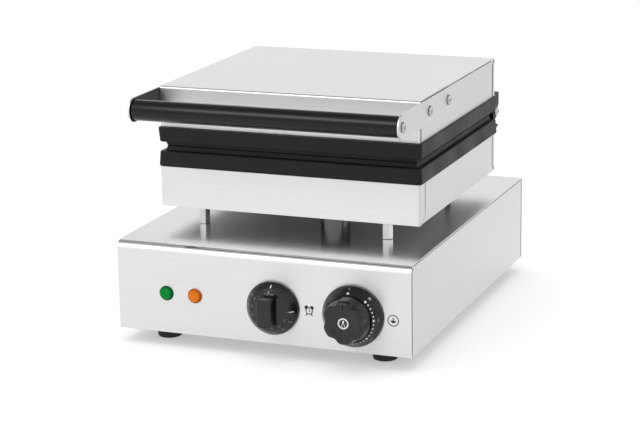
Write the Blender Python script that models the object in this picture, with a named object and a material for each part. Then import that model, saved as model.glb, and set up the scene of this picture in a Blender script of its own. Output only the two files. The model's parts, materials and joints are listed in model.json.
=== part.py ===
# Four-stick waffle maker: a folded steel base with a timer and a thermostat, a lower cast plate on four
# posts, and a hinged lid with the upper cast plate. Metres, +Z up, front towards -Y, standing on z = 0.

import math

import bmesh
import bpy
from mathutils import Vector

# Driving dimensions
base_width = 0.300
base_depth = 0.366
base_height = 0.088
base_sheet = 0.0012
front_bend = 0.0075
lid_bend = 0.0024
rear_bend = 0.002
foot_height = 0.014
foot_radius = 0.0135
head_gap = 0.0186
housing_height = 0.040
housing_sheet = 0.001
plate_width = 0.2715
plate_depth = 0.248
plate_height = 0.0195
plate_setback = 0.0102
plate_corner = 0.004
plate_wall = 0.006
parting_gap = 0.0092
land_inset = 0.0062
draft = 0.0009
cavity_width = 0.051
cavity_length = 0.196
cavity_depth = 0.011
cavity_corner = 0.003
web = 0.004
peg_height = 0.008
stick_radius = 0.003
lid_inset_side = 0.0015
lid_inset_end = 0.004
lid_height = 0.0403
lid_sheet = 0.001
handle_radius = 0.0102
handle_reach = 0.0545
bracket_radius = 0.0119
bracket_sheet = 0.002
bracket_reach = 0.079
post_width = 0.010
stud_radius = 0.0025
wiring_radius = 0.0145
hinge_setback = 0.0138
hinge_pin_radius = 0.003
ear_radius = 0.0085
ear_width = 0.012
ear_reach = 0.013
lid_opening = 100
screw_radius = 0.002
screw_head = 0.0054
timer_radius = 0.026
thermostat_radius = 0.0298
knob_standoff = 0.0015
timer_height = 0.0235
thermostat_height = 0.028
shaft_radius = 0.003
lamp_radius = 0.0072
heater_radius = 0.0036
capillary_radius = 0.0011
bulb_radius = 0.003
conduit_radius = 0.0075
conduit_setback = 0.030
gland_radius = 0.011
fit = 0.0003
slit = 0.0008
reach = 0.002

# Shares of the size that they are measured along
foot_x_share = 0.375
foot_y_share = 0.41
knob_rise_share = 0.405
timer_x_share = 0.041
thermostat_x_share = 0.310
green_x_share = -0.329
orange_x_share = -0.229
lamp_rise_share = 0.447
wiring_x_share = 0.113
wiring_y_share = -0.3363
cavity_y_share = 0.035
bracket_rise_share = 0.67
bracket_screw_shares = (0.0, 0.58, 1.0)
conduit_x_share = -0.20
conduit_rise_share = 0.26
post_x_share = 0.354
post_front_share = -0.43
post_rear_share = 0.35
heater_pitch_share = 0.191
rib_share = 0.87
gland_x_share = -0.30
barrel_share = 0.75
hose_bore_share = 0.72
fitting_share = 1.4
gland_barrel_share = 0.7
gland_bore_share = 0.45
ear_x_share = 0.479
boss_share = 2.6
peg_foot_share = 0.74
peg_tip_share = 0.44
nut_shares = (2.8, 1 / 3)
block_x_share = -0.1
block_y_share = 0.3
block_share = 0.08
vent_shares = (0.2, 1 / 15, 1 / 45)
# Half width, half height and way from the knob's rear edge to its front, in its radius and its height
bar_shares = ((0.31, 0.54, 0.2), (0.295, 0.52, 0.5), (0.275, 0.5, 0.955), (0.24, 0.47, 1.0))
bar_corner_share = 0.45
# Radius, depth of the scallops and way to the front, likewise
lobe_shares = (
    (0.77, 0.02, 0.44),
    (0.76, 0.05, 0.53),
    (0.70, 0.09, 0.82),
    (0.66, 0.09, 0.93),
    (0.60, 0.07, 0.975),
    (0.42, 0.02, 1.0),
)
# Radius and way to the front of each knob's conical skirt, likewise
timer_skirt_shares = ((0.97, 0.0), (1.0, 0.03), (1.0, 0.1), (0.78, 0.38), (0.7, 0.42), (0.5, 0.42))
thermostat_skirt_shares = ((0.97, 0.0), (1.0, 0.03), (1.0, 0.1), (0.85, 0.44), (0.8, 0.49), (0.5, 0.49))
shaft_share = 0.6
timer_case_shares = (0.85, 0.8, 1.4)
thermostat_case_shares = (0.64, 0.56, 1.0)
# Radius and height of a foot's toe, and the depth of its recess
foot_shares = ((0.87, 0.0), (0.91, 0.04))
recess_share = 0.45
# Radius and height of a lens's face, and where its body narrows
lens_shares = ((0.86, 0.45), (1.0, 0.3))
lamp_neck_shares = (0.4, 0.5)
# Radius and height of the cord gland's nose
gland_shares = ((0.75, 1.0), (1.0, 0.4))
block_height_share = 0.8
screw_depth_share = 0.6
flange_share = 1.5
return_share = 0.37
cavity_margin_share = 0.4
rest_shares = (0.8, 1.3)
bolt_head_share = 1.5
hinge_nut_shares = (3.4, 1.6)
heater_end_share = 0.24
clamp_share = 1.65
bulb_share = 0.12
capillary_shares = (0.3, 0.6, 0.8)
grip_bore_share = 0.5
handle_screw_share = 2.6
bracket_screw_share = 1.6
# Height of a conduit fitting and width of its sleeve
fitting_shares = (0.5, 0.8)
# Bends of the conduit, across its setback and up its rise
route_shares = ((0.2, 0.5), (0.35, 0.75))
route_lead_share = 0.9
# Radius and height of a pan head
pan_shares = ((0.75, 0.55), (1.0, 0.3), (1.0, 0.0))
# Radius and height of a domed head
dome_shares = ((0.3, 0.5), (0.62, 0.42), (0.87, 0.25), (1.0, 0.06), (1.0, 0.0))
# Radius and height of a bolt's head
bolt_shares = ((0.35, 0.86), (0.75, 0.7), (1.0, 0.3), (1.0, 0.0))
# Section of the housing's side returns, in their width and the housing's height
return_shares = ((0.0, 0.0), (0.15, 0.0), (0.5, 0.04), (1.0, 0.24), (1.0, 1.0), (0.0, 1.0))

# Counts
cavities = 4
peg_rows = 9
peg_columns = 2
vents = 7
conduit_ribs = 46
fine_steps = 28
round_steps = 20
small_steps = 12
arc_steps = 5
lobe_steps = 36
scallop_half = 44
hose_sides = 10

# Heights, from the counter up
base_bottom = foot_height
base_top = base_bottom + base_height
housing_bottom = base_top + head_gap
housing_top = housing_bottom + housing_height
parting = housing_top + fit + plate_height
upper_top = parting + plate_height
lid_bottom = upper_top + fit
lid_top = lid_bottom + lid_height

# Places in plan, from the middle of the base
panel = -base_depth / 2
plate_front = plate_setback - plate_depth / 2
plate_rear = plate_setback + plate_depth / 2
lid_front = plate_front + lid_inset_end
lid_rear = plate_rear - lid_inset_end
lid_width = plate_width - 2 * lid_inset_side
hinge_y = plate_rear + hinge_setback
hinge_z = parting
handle_y = lid_front - handle_reach
handle_z = lid_bottom + bracket_rise_share * lid_height
knob_z = base_bottom + knob_rise_share * base_height
lamp_z = base_bottom + lamp_rise_share * base_height
gland_reach = gland_radius
base_shift = (thermostat_height - gland_reach) / 2


def clear_scene():
    for obj in list(bpy.data.objects):
        bpy.data.objects.remove(obj, do_unlink=True)


def surface(name, colour, roughness, metallic):
    made = bpy.data.materials.new(name)
    made.use_nodes = True
    shader = made.node_tree.nodes["Principled BSDF"]
    shader.inputs["Base Color"].default_value = (*colour, 1.0)
    shader.inputs["Roughness"].default_value = roughness
    shader.inputs["Metallic"].default_value = metallic
    return made


def empty(name, location, parent=None):
    made = bpy.data.objects.new(name, None)
    made.location = location
    made.parent = parent
    bpy.context.scene.collection.objects.link(made)
    return made


def placed(u, v, along, axis):
    if axis == "x":
        return (along, u, v)
    if axis == "y":
        return (u, along, v)
    return (u, v, along)


def loft(rings, closed=False):
    # A body through rings of equally many points, capped at its ends, or closed on itself like a ring.
    body = bmesh.new()
    rows = [[body.verts.new(point) for point in ring] for ring in rings]
    pairs = list(zip(rows, rows[1:]))
    if closed:
        pairs.append((rows[-1], rows[0]))
    for lower, upper in pairs:
        for i, corner in enumerate(lower):
            j = (i + 1) % len(lower)
            body.faces.new((corner, lower[j], upper[j], upper[i]))
    if not closed:
        body.faces.new(rows[0])
        body.faces.new(rows[-1])
    bmesh.ops.recalc_face_normals(body, faces=body.faces)
    return body


def prism(outline, start, end, axis):
    return loft([[placed(u, v, along, axis) for u, v in outline] for along in (start, end)])


def block(x0, x1, y0, y1, z0, z1):
    return prism([(x0, y0), (x1, y0), (x1, y1), (x0, y1)], z0, z1, "z")


def arc(centre, radius, start, end, steps):
    turn = [math.radians(start + (end - start) * i / steps) for i in range(steps + 1)]
    return [(centre[0] + radius * math.cos(a), centre[1] + radius * math.sin(a)) for a in turn]


def circle(centre, radius, steps):
    return arc(centre, radius, 0, 360, steps)[:-1]


def hexagon(centre, width):
    return circle(centre, width / math.sqrt(3), 6)


def rounded(u0, u1, v0, v1, radius, steps=arc_steps):
    return (
        arc((u1 - radius, v0 + radius), radius, -90, 0, steps)
        + arc((u1 - radius, v1 - radius), radius, 0, 90, steps)
        + arc((u0 + radius, v1 - radius), radius, 90, 180, steps)
        + arc((u0 + radius, v0 + radius), radius, 180, 270, steps)
    )


def capsule(start, end, radius, steps=8):
    # The outline round two equal circles whose centres lie at one height.
    return arc(start, radius, 90, 270, steps) + arc(end, radius, -90, 90, steps)


def turned(profile, centre, axis, steps=round_steps, closed=False):
    # The profile is a list of (radius, along). A closed one runs round a ring's section.
    rings = []
    for radius, along in profile:
        rings.append([placed(u, v, along, axis) for u, v in circle(centre, radius, steps)])
    return loft(rings, closed)


def merged(bodies):
    whole = bmesh.new()
    for body in bodies:
        mesh = bpy.data.meshes.new("piece")
        body.to_mesh(mesh)
        body.free()
        whole.from_mesh(mesh)
        bpy.data.meshes.remove(mesh)
    return whole


def to_object(name, body):
    mesh = bpy.data.meshes.new(name)
    body.to_mesh(mesh)
    body.free()
    made = bpy.data.objects.new(name, mesh)
    bpy.context.scene.collection.objects.link(made)
    return made


def hang(made, parent):
    # Shapes are drawn from the middle of the base, so a parent away from it is taken off again.
    made.parent = parent
    if parent is not machine:
        made.location = -parent.location


def add(name, body, material, parent):
    made = to_object(name, body)
    made.data.materials.append(material)
    made.data.shade_smooth()
    made.data.set_sharp_from_angle(angle=math.radians(35))
    hang(made, parent)
    return made


def combine(target, bodies, operation):
    helper = to_object(f"{target.name}_{operation.lower()}_{len(target.modifiers)}", merged(bodies))
    helper.hide_render = True
    helper.display_type = "WIRE"
    helper.parent = target
    step = target.modifiers.new(helper.name, "BOOLEAN")
    step.operation = operation
    step.solver = "EXACT"
    step.object = helper


def cut(target, *bodies):
    combine(target, bodies, "DIFFERENCE")


def join(target, *bodies):
    combine(target, bodies, "UNION")


def folded_outline(front, rear, low, high, front_radius, rear_radius):
    # Section in Y and Z of a sheet folded down at the front and the rear.
    return (
        [(front, low)]
        + arc((front + front_radius, high - front_radius), front_radius, 180, 90, arc_steps)
        + arc((rear - rear_radius, high - rear_radius), rear_radius, 90, 0, arc_steps)
        + [(rear, low)]
    )


def folded_cover(name, width, front, rear, low, high, sheet, bend, material, parent):
    # An open-bottomed cover folded from one sheet. Its side walls end at a slit behind the front and rear.
    made = add(
        name,
        prism(folded_outline(front, rear, low, high, bend, rear_bend), -width / 2, width / 2, "x"),
        material,
        parent,
    )
    hollow = folded_outline(
        front + sheet, rear - sheet, low - reach, high - sheet, bend - sheet, rear_bend - sheet
    )
    cut(made, prism(hollow, sheet - width / 2, width / 2 - sheet, "x"))
    slits = []
    top = high - bend - sheet
    for side in (-1, 1):
        wall = side * (width - sheet) / 2
        for start in (front + sheet, rear - sheet - slit):
            slits.append(block(wall - sheet, wall + sheet, start, start + slit, low - reach, top))
    cut(made, *slits)
    return made


def foot_places():
    for row, side_y in (("front", -1), ("rear", 1)):
        for column, side_x in (("left", -1), ("right", 1)):
            place = (side_x * foot_x_share * base_width, side_y * foot_y_share * base_depth)
            yield f"{row}_{column}", place


def post_places():
    for row, row_share in (("front", post_front_share), ("rear", post_rear_share)):
        y = plate_setback + row_share * plate_depth
        for column, side_x in (("left", -1), ("right", 1)):
            yield f"{row}_{column}", (side_x * post_x_share * plate_width, y)


timer_x = timer_x_share * base_width
thermostat_x = thermostat_x_share * base_width
lamp_places = (("green", green_x_share * base_width), ("orange", orange_x_share * base_width))
wiring_place = (wiring_x_share * base_width, plate_setback + wiring_y_share * plate_depth)
conduit_x = conduit_x_share * base_width
conduit_y = lid_rear + conduit_setback
gland_place = (gland_x_share * base_width, base_bottom + 2 * gland_radius)
shaft_hole = shaft_radius + 2 * reach
barrel_radius = barrel_share * lamp_radius
conduit_bore = hose_bore_share * conduit_radius
conduit_lid_z = lid_bottom + conduit_rise_share * lid_height
fitting_radius = fitting_share * conduit_radius
gland_barrel = gland_barrel_share * gland_radius


def build_base():
    shell = folded_cover(
        "base_shell",
        base_width,
        panel,
        -panel,
        base_bottom,
        base_top,
        base_sheet,
        front_bend,
        stainless,
        machine,
    )
    front = (panel - reach, panel + base_sheet + reach)
    top = (base_top - base_sheet - reach, base_top + reach)
    holes = [
        turned([(shaft_hole, front[0]), (shaft_hole, front[1])], (timer_x, knob_z), "y", small_steps),
        turned([(shaft_hole, front[0]), (shaft_hole, front[1])], (thermostat_x, knob_z), "y", small_steps),
    ]
    for _, x in lamp_places:
        radius = barrel_radius + fit
        holes.append(turned([(radius, front[0]), (radius, front[1])], (x, lamp_z), "y", small_steps))
    for _, place in post_places():
        radius = screw_radius + fit
        holes.append(turned([(radius, top[0]), (radius, top[1])], place, "z", small_steps))
    radius = wiring_radius + fit
    holes.append(turned([(radius, top[0]), (radius, top[1])], wiring_place, "z"))
    place = (conduit_x, conduit_y)
    holes.append(turned([(conduit_bore, top[0]), (conduit_bore, top[1])], place, "z", small_steps))
    radius = gland_barrel + fit
    rear = (-panel - base_sheet - reach, reach - panel)
    holes.append(turned([(radius, rear[0]), (radius, rear[1])], gland_place, "y", small_steps))
    cut(shell, *holes)


def build_bottom_cover():
    side = base_width / 2 - base_sheet - fit
    end = base_depth / 2 - base_sheet - fit
    rim = foot_height / 2
    whole = block(-side, side, -end, end, base_bottom, base_bottom + rim)
    tray = add("bottom_cover", whole, galvanised, machine)
    side -= base_sheet
    end -= base_sheet
    cut(tray, block(-side, side, -end, end, base_bottom + base_sheet, base_bottom + rim + reach))
    openings = []
    floor = (base_bottom - reach, base_bottom + base_sheet + reach)
    offset, half = (share * base_width for share in vent_shares[:2])
    pitch = 4 * fit + vent_shares[2] * base_depth
    for i in range(vents):
        y = (i - (vents - 1) / 2) * pitch
        for side_x in (-1, 1):
            x = side_x * offset
            outline = rounded(x - half, x + half, y - pitch / 4, y + pitch / 4, pitch / 5, 2)
            openings.append(prism(outline, floor[0], floor[1], "z"))
    for _, place in foot_places():
        radius = screw_radius + fit
        openings.append(turned([(radius, floor[0]), (radius, floor[1])], place, "z", small_steps))
    cut(tray, *openings)


def build_feet():
    recess = screw_head + 2 * fit
    depth = recess_share * foot_height
    top = foot_height - fit
    for name, place in foot_places():
        section = [(share * foot_radius, rise * foot_height) for share, rise in foot_shares]
        section += [
            (foot_radius, top),
            (screw_radius + fit, top),
            (screw_radius + fit, depth),
            (recess, depth),
            (recess, 0),
        ]
        add(f"foot_{name}", turned(section, place, "z", closed=True), rubber, machine)
        seat = depth - fit
        screw = [(share * screw_head, seat - rise * screw_head) for share, rise in pan_shares]
        screw += [(screw_radius, seat), (screw_radius, base_bottom + foot_height / 2)]
        add(f"foot_screw_{name}", turned(screw, place, "z", small_steps), steel, machine)


def build_lamps():
    inside = panel + base_sheet + 2 * reach
    for (colour, x), material in zip(lamp_places, (green_plastic, orange_plastic)):
        lens = [(share * lamp_radius, panel - rise * lamp_radius) for share, rise in lens_shares]
        lens += [
            (lamp_radius, panel - fit),
            (barrel_radius, panel - fit),
            (barrel_radius, inside),
        ]
        add(f"{colour}_lens", turned(lens, (x, lamp_z), "y"), material, machine)
        end = inside + 3 * lamp_radius
        body = [
            (lamp_radius, inside + fit),
            (lamp_radius, inside + lamp_neck_shares[0] * lamp_radius),
            (barrel_radius, inside + lamp_neck_shares[1] * lamp_radius),
            (barrel_radius, end),
        ]
        whole = turned(body, (x, lamp_z), "y", small_steps)
        lamp = add(f"{colour}_lamp_body", whole, dark_plastic, machine)
        half = barrel_radius / 2
        thin = barrel_radius / 12
        blades = []
        for side in (-1, 1):
            middle = x + side * half
            low = lamp_z - half
            high = low + 2 * half
            blades.append(block(middle - thin, middle + thin, end - reach, end + lamp_radius, low, high))
        join(lamp, *blades)


def control_body(name, x, half_x, half_z, depth, flange):
    # A control behind the panel: a mounting flange against the sheet and a moulded case behind it.
    near = panel + base_sheet + fit
    rings = []
    step = near + reach / 2
    for grow, along in ((flange, near), (flange, step), (0, step), (0, near + depth)):
        outline = rounded(
            x - half_x - grow,
            x + half_x + grow,
            knob_z - half_z - grow / 4,
            knob_z + half_z + grow / 4,
            half_z / 6,
            3,
        )
        rings.append([placed(u, v, along, "y") for u, v in outline])
    made = add(name, loft(rings), dark_plastic, machine)
    bore = shaft_radius + fit
    cut(made, turned([(bore, near - reach), (bore, near + depth / 2)], (x, knob_z), "y", small_steps))
    return near + depth


def keyed(radius, x):
    # A round shaft with one flat, as its knob's bore has too.
    return [(x + u, knob_z + v) for u, v in arc((0, 0), radius, 130, 410, 12)]


def build_knob(kind, x, radius, height, body_end, skirt_shares, grip):
    axis = empty(f"{kind}_axis", (x, panel, knob_z), machine)
    near = panel + base_sheet + fit
    shaft_end = panel - shaft_share * height
    add(
        f"{kind}_shaft",
        prism(keyed(shaft_radius, x), shaft_end, near + (body_end - near) / 2 - fit, "y"),
        steel,
        axis,
    )
    rear = panel - knob_standoff
    front = panel - height
    skirt = [(share * radius, rear + way * (front - rear)) for share, way in skirt_shares]
    knob = add(f"{kind}_knob", turned(skirt, (x, knob_z), "y", fine_steps), knob_plastic, axis)
    grip(knob, x, radius, rear, front)
    bore = prism(keyed(shaft_radius + fit, x), rear + reach, shaft_end - fit, "y")
    cut(knob, bore)


def bar_grip(knob, x, radius, rear, front):
    # A short straight bar across the skirt, drawn in towards its front, with rounded corners.
    rings = []
    for across, up, share in bar_shares:
        half_x = across * radius
        half_z = up * radius
        along = rear + share * (front - rear)
        corner = bar_corner_share * half_x
        outline = rounded(x - half_x, x + half_x, knob_z - half_z, knob_z + half_z, corner, 4)
        rings.append([placed(u, v, along, "y") for u, v in outline])
    join(knob, loft(rings))


def lobed_outline(radius, depth):
    # A circle drawn in by three finger scallops, with a lobe left at the top.
    points = []
    for i in range(lobe_steps):
        turn = 360 * i / lobe_steps
        away = abs((turn - 30 + 60) % 120 - 60)
        drawn = math.cos(math.radians(90 * min(away / scallop_half, 1))) ** 2
        length = radius - depth * drawn
        points.append((length * math.cos(math.radians(turn)), length * math.sin(math.radians(turn))))
    return points


def lobed_grip(knob, x, radius, rear, front):
    rings = []
    for size, depth, share in lobe_shares:
        along = rear + share * (front - rear)
        outline = lobed_outline(size * radius, depth * radius)
        rings.append([placed(x + u, knob_z + v, along, "y") for u, v in outline])
    join(knob, loft(rings))


def build_controls():
    half_x, half_z, depth = (share * timer_radius for share in timer_case_shares)
    timer_end = control_body("timer_body", timer_x, half_x, half_z, depth, reach)
    build_knob("timer", timer_x, timer_radius, timer_height, timer_end, timer_skirt_shares, bar_grip)
    half_x, half_z, depth = (share * thermostat_radius for share in thermostat_case_shares)
    end = control_body("thermostat_body", thermostat_x, half_x, half_z, depth, 2 * reach)
    build_knob(
        "thermostat",
        thermostat_x,
        thermostat_radius,
        thermostat_height,
        end,
        thermostat_skirt_shares,
        lobed_grip,
    )
    return end


def build_wiring():
    x = block_x_share * base_width
    y = block_y_share * base_depth
    low = base_bottom + base_sheet + fit
    half = block_share * base_width
    high = low + block_height_share * half
    whole = block(x - half, x + half, y - half / 2, y + half / 2, low, high)
    terminal = add("terminal_block", whole, ceramic, machine)
    barriers = []
    for i in range(4):
        middle = x + (i - 1.5) * half / 2
        for side in (-1, 1):
            wall = y + side * half / 2
            inner = wall - side * half / 4
            barriers.append(
                block(
                    middle - half / 6,
                    middle + half / 6,
                    min(wall + side * reach, inner),
                    max(wall + side * reach, inner),
                    (low + high) / 2,
                    high + reach,
                )
            )
    cut(terminal, *barriers)
    bore = gland_bore_share * gland_radius
    rear = -panel
    section = [(bore, rear + gland_reach)]
    section += [(share * gland_radius, rear + rise * gland_reach) for share, rise in gland_shares]
    section += [
        (gland_radius, rear + fit),
        (gland_barrel, rear + fit),
        (gland_barrel, rear - base_sheet - gland_reach / 2),
        (bore, rear - base_sheet - gland_reach / 2),
    ]
    add("cord_gland", turned(section, gland_place, "y", closed=True), dark_plastic, machine)
    pan_top = housing_bottom + housing_sheet + fit + housing_sheet
    section = [
        (wiring_radius, base_top - 2 * gland_radius / 3),
        (wiring_radius, pan_top + reach),
        (wiring_radius - base_sheet, pan_top + reach),
        (wiring_radius - base_sheet, base_top - 2 * gland_radius / 3),
    ]
    add("wiring_tube", turned(section, wiring_place, "z", fine_steps, closed=True), polished, machine)
    under = base_top - base_sheet - fit
    nut_height = nut_shares[1] * wiring_radius
    nut = prism(hexagon(wiring_place, nut_shares[0] * wiring_radius), under - nut_height, under, "z")
    ring = add("wiring_tube_nut", nut, steel, machine)
    bore = wiring_radius + fit
    cut(ring, turned([(bore, under - nut_height - reach), (bore, under + reach)], wiring_place, "z"))


def build_posts():
    # Hexagonal standoffs: a screw from inside the base at the foot, a stud on top that carries the plate.
    post_top = housing_bottom + housing_sheet
    stud_top = parting - cavity_depth - web - fit
    for name, place in post_places():
        low = base_top + fit
        shank = prism(hexagon(place, post_width), low, post_top, "z")
        post = add(f"post_{name}", shank, polished, machine)
        stud = [(stud_radius, post_top - reach), (stud_radius, stud_top)]
        join(post, turned(stud, place, "z", small_steps))
        bore = screw_radius + fit
        depth = low + screw_depth_share * head_gap
        cut(post, turned([(bore, low - reach), (bore, depth)], place, "z", small_steps))
        under = base_top - base_sheet - fit
        screw = [(share * screw_head, under - rise * screw_head) for share, rise in pan_shares]
        screw += [(screw_radius, under), (screw_radius, depth - fit)]
        add(f"post_screw_{name}", turned(screw, place, "z", small_steps), steel, machine)


def build_housing():
    # Four walls with flanges turned in at the top and the bottom, and the front's returns on the sides.
    half = plate_width / 2 - draft
    front = plate_front + draft
    rear = plate_rear - draft
    side = half - housing_sheet
    low = housing_bottom
    high = housing_top
    housing = add("lower_housing", block(-side, side, front, rear, low, high), stainless, machine)
    inner = side - housing_sheet
    sheet = housing_sheet
    cut(housing, block(-inner, inner, front + sheet, rear - sheet, low + sheet, high - sheet))
    flange = flange_share * plate_wall
    window = (flange - inner, inner - flange, front + flange, rear - flange)
    cut(
        housing,
        block(*window, low - reach, low + flange_share * sheet),
        block(*window, high - flange_share * sheet, high + reach),
    )
    width = return_share * housing_height
    returned = [
        (front + across * width, low + rise * housing_height) for across, rise in return_shares
    ]
    join(
        housing,
        prism(returned, -half, -inner - sheet / 2, "x"),
        prism(returned, inner + sheet / 2, half, "x"),
    )
    slits = []
    for turn in (-1, 1):
        middle = turn * (side - sheet / 2)
        across = (middle - slit / 2, middle + slit / 2)
        slits.append(block(*across, rear - sheet / 2, rear + reach, low - reach, high - 2 * sheet))
    cut(housing, *slits)
    pan_low = low + sheet + fit
    edge = inner - fit
    pan = add(
        "lower_pan",
        block(-edge, edge, front + sheet + fit, rear - sheet - fit, pan_low, pan_low + sheet),
        galvanised,
        machine,
    )
    openings = []
    span = (pan_low - reach, pan_low + sheet + reach)
    for _, place in post_places():
        radius = stud_radius + fit
        openings.append(turned([(radius, span[0]), (radius, span[1])], place, "z", small_steps))
    radius = wiring_radius + fit
    openings.append(turned([(radius, span[0]), (radius, span[1])], wiring_place, "z"))
    cut(pan, *openings)


def plate_ring(inset, z, radius):
    half = plate_width / 2 - inset
    outline = rounded(-half, half, plate_front + inset, plate_rear - inset, radius)
    return [(u, v, z) for u, v in outline]


def cavity_places():
    pitch = plate_width / (cavities + cavity_margin_share)
    for i in range(cavities):
        yield (i - (cavities - 1) / 2) * pitch


def cast_plate(name, up, parent):
    # A cast plate whose cooking side faces the parting plane: up is 1 for the upper plate, else -1. Its
    # frame has a window for each cavity, and the bed that closes them all carries the pegs.
    def z(distance):
        return parting + up * distance

    skirt = parting_gap / 2
    body = loft(
        [
            plate_ring(draft / 2, z(plate_height), plate_corner),
            plate_ring(0, z(plate_height - draft), plate_corner),
            plate_ring(draft, z(skirt + draft), plate_corner),
            plate_ring(2 * draft, z(skirt), plate_corner - draft),
            plate_ring(land_inset, z(skirt - draft / 2), draft),
            plate_ring(land_inset + draft, z(fit / 2), draft),
        ]
    )
    plate = add(name, body, cast_coating, parent)
    hollow = [
        plate_ring(plate_wall, z(plate_height + reach), plate_corner),
        plate_ring(plate_wall + draft, z(cavity_depth - fit), plate_corner),
    ]
    cut(plate, loft(hollow))
    edge = plate_wall + draft + fit
    slab = [plate_ring(edge, z(distance), plate_corner) for distance in (cavity_depth, cavity_depth + web)]
    bed = add(f"{name}_bed", loft(slab), cast_coating, parent)
    hollows = []
    pegs = []
    middle_y = plate_setback + cavity_y_share * plate_depth
    half_x = cavity_width / 2
    half_y = cavity_length / 2
    slope = 2 * draft
    for x in cavity_places():
        sections = ((slope, cavity_depth + fit), (0, fit / 2), (-slope * fit / cavity_depth, -reach))
        rings = []
        for inset, distance in sections:
            outline = rounded(
                x - half_x + inset,
                x + half_x - inset,
                middle_y - half_y + inset,
                middle_y + half_y - inset,
                cavity_corner - inset,
            )
            rings.append([(u, v, z(distance)) for u, v in outline])
        hollows.append(loft(rings))
        room_x = (cavity_width - 2 * slope) / peg_columns
        room_y = (cavity_length - 2 * slope) / peg_rows
        for row in range(peg_rows):
            for column in range(peg_columns):
                middle = (
                    x + (column - (peg_columns - 1) / 2) * room_x,
                    middle_y + (row - (peg_rows - 1) / 2) * room_y,
                )
                rings = []
                for share, distance in (
                    (peg_foot_share, cavity_depth + web / 4),
                    (peg_tip_share, cavity_depth - peg_height),
                ):
                    x_half = share * room_x / 2
                    y_half = share * room_y / 2
                    corners = ((-x_half, -y_half), (x_half, -y_half), (x_half, y_half), (-x_half, y_half))
                    rings.append([(middle[0] + u, middle[1] + v, z(distance)) for u, v in corners])
                pegs.append(loft(rings))
    cut(plate, *hollows)
    join(bed, *pegs)
    channels = []
    channel_end = plate_front + land_inset + 2 * plate_wall / 3
    channel_start = middle_y - half_y + slope + reach
    for x in cavity_places():
        outline = [(x + u, v) for u, v in arc((0, parting), stick_radius, 0, 360, 12)[:-1]]
        channels.append(prism(outline, channel_end, channel_start, "y"))
    cut(plate, *channels)
    return plate, bed


def ear(outline, inner, width):
    # One lug on each side of the machine, alike.
    return [prism(outline, inner, inner + width, "x"), prism(outline, -inner - width, -inner, "x")]


ear_outer = ear_x_share * plate_width
upper_ear = ear_outer - ear_width
lower_ear = upper_ear - ear_width - fit
root_y = plate_rear - plate_wall / 2


def pivot_bores():
    bore = hinge_pin_radius + fit
    ends = (lower_ear - reach, ear_outer + reach)
    places = []
    for side in (-1, 1):
        barrel = [(bore, side * end) for end in ends]
        places.append(turned(barrel, (hinge_y, hinge_z), "x", small_steps))
    return places


def stop_height(y):
    # The stop's top, which the opened lug's rear face meets at the end of its turn.
    turn = math.radians(lid_opening)
    return hinge_z - (ear_reach + 2 * fit - (y - hinge_y) * math.cos(turn)) / math.sin(turn)


def build_plates():
    lower, bed = cast_plate("lower_plate", -1, machine)
    skirt = parting_gap / 2
    bottom = parting - plate_height + draft
    lug = (
        [(root_y, parting - skirt - draft), (root_y, bottom)]
        + [(hinge_y - ear_radius / 2, bottom)]
        + arc((hinge_y, hinge_z), ear_radius, -40, 180, 10)
    )
    outer = hinge_y + rest_shares[1] * ear_radius
    rest = [
        (root_y, stop_height(root_y)),
        (root_y, bottom),
        (hinge_y + rest_shares[0] * ear_radius, bottom),
        (outer, stop_height(outer)),
    ]
    join(lower, *ear(lug, lower_ear, ear_width))
    join(lower, *ear(rest, upper_ear, ear_width))
    cut(lower, *pivot_bores())
    bosses = []
    holes = []
    under = parting - cavity_depth - web
    for _, place in post_places():
        radius = boss_share * stud_radius
        bosses.append(turned([(radius, bottom), (radius, under + web / 2)], place, "z", small_steps))
        radius = stud_radius + fit
        holes.append(turned([(radius, bottom - reach), (radius, under)], place, "z", small_steps))
    join(bed, *bosses)
    cut(bed, *holes)
    upper, _ = cast_plate("upper_plate", 1, lid_axis)
    top = parting + plate_height - draft
    lug = (
        [(root_y, parting + skirt + draft), (root_y, top), (hinge_y + ear_reach, top)]
        + [(hinge_y + ear_reach, parting + skirt + 2 * draft)]
        + arc((hinge_y, hinge_z), ear_radius, 0, -180, 10)
    )
    join(upper, *ear(lug, upper_ear, ear_width))
    cut(upper, *pivot_bores())


def build_hinge_bolts():
    head = bolt_head_share * hinge_pin_radius
    width, height = (share * hinge_pin_radius for share in hinge_nut_shares)
    for name, side in (("left", -1), ("right", 1)):
        outer = ear_outer + fit
        inner = lower_ear - fit
        bolt = [(share * head, side * (outer + rise * head)) for share, rise in bolt_shares]
        end = inner - height
        bolt += [(hinge_pin_radius, side * outer), (hinge_pin_radius, side * (end - reach))]
        centre = (hinge_y, hinge_z)
        pin = add(f"hinge_bolt_{name}", turned(bolt, centre, "x", small_steps), steel, machine)
        join(pin, prism(hexagon(centre, width), side * inner, side * end, "x"))


def tube(name, points, radii, sides, material, parent):
    # A tube along a smooth path, its radius given at each point.
    curve = bpy.data.curves.new(name, "CURVE")
    curve.dimensions = "3D"
    curve.bevel_depth = 1.0
    curve.bevel_resolution = sides
    curve.use_fill_caps = True
    spline = curve.splines.new("POLY")
    spline.points.add(len(points) - 1)
    for knot, point, radius in zip(spline.points, points, radii):
        knot.co = (*point, 1.0)
        knot.radius = radius
    made = bpy.data.objects.new(name, curve)
    bpy.context.scene.collection.objects.link(made)
    curve.materials.append(material)
    hang(made, parent)


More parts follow.
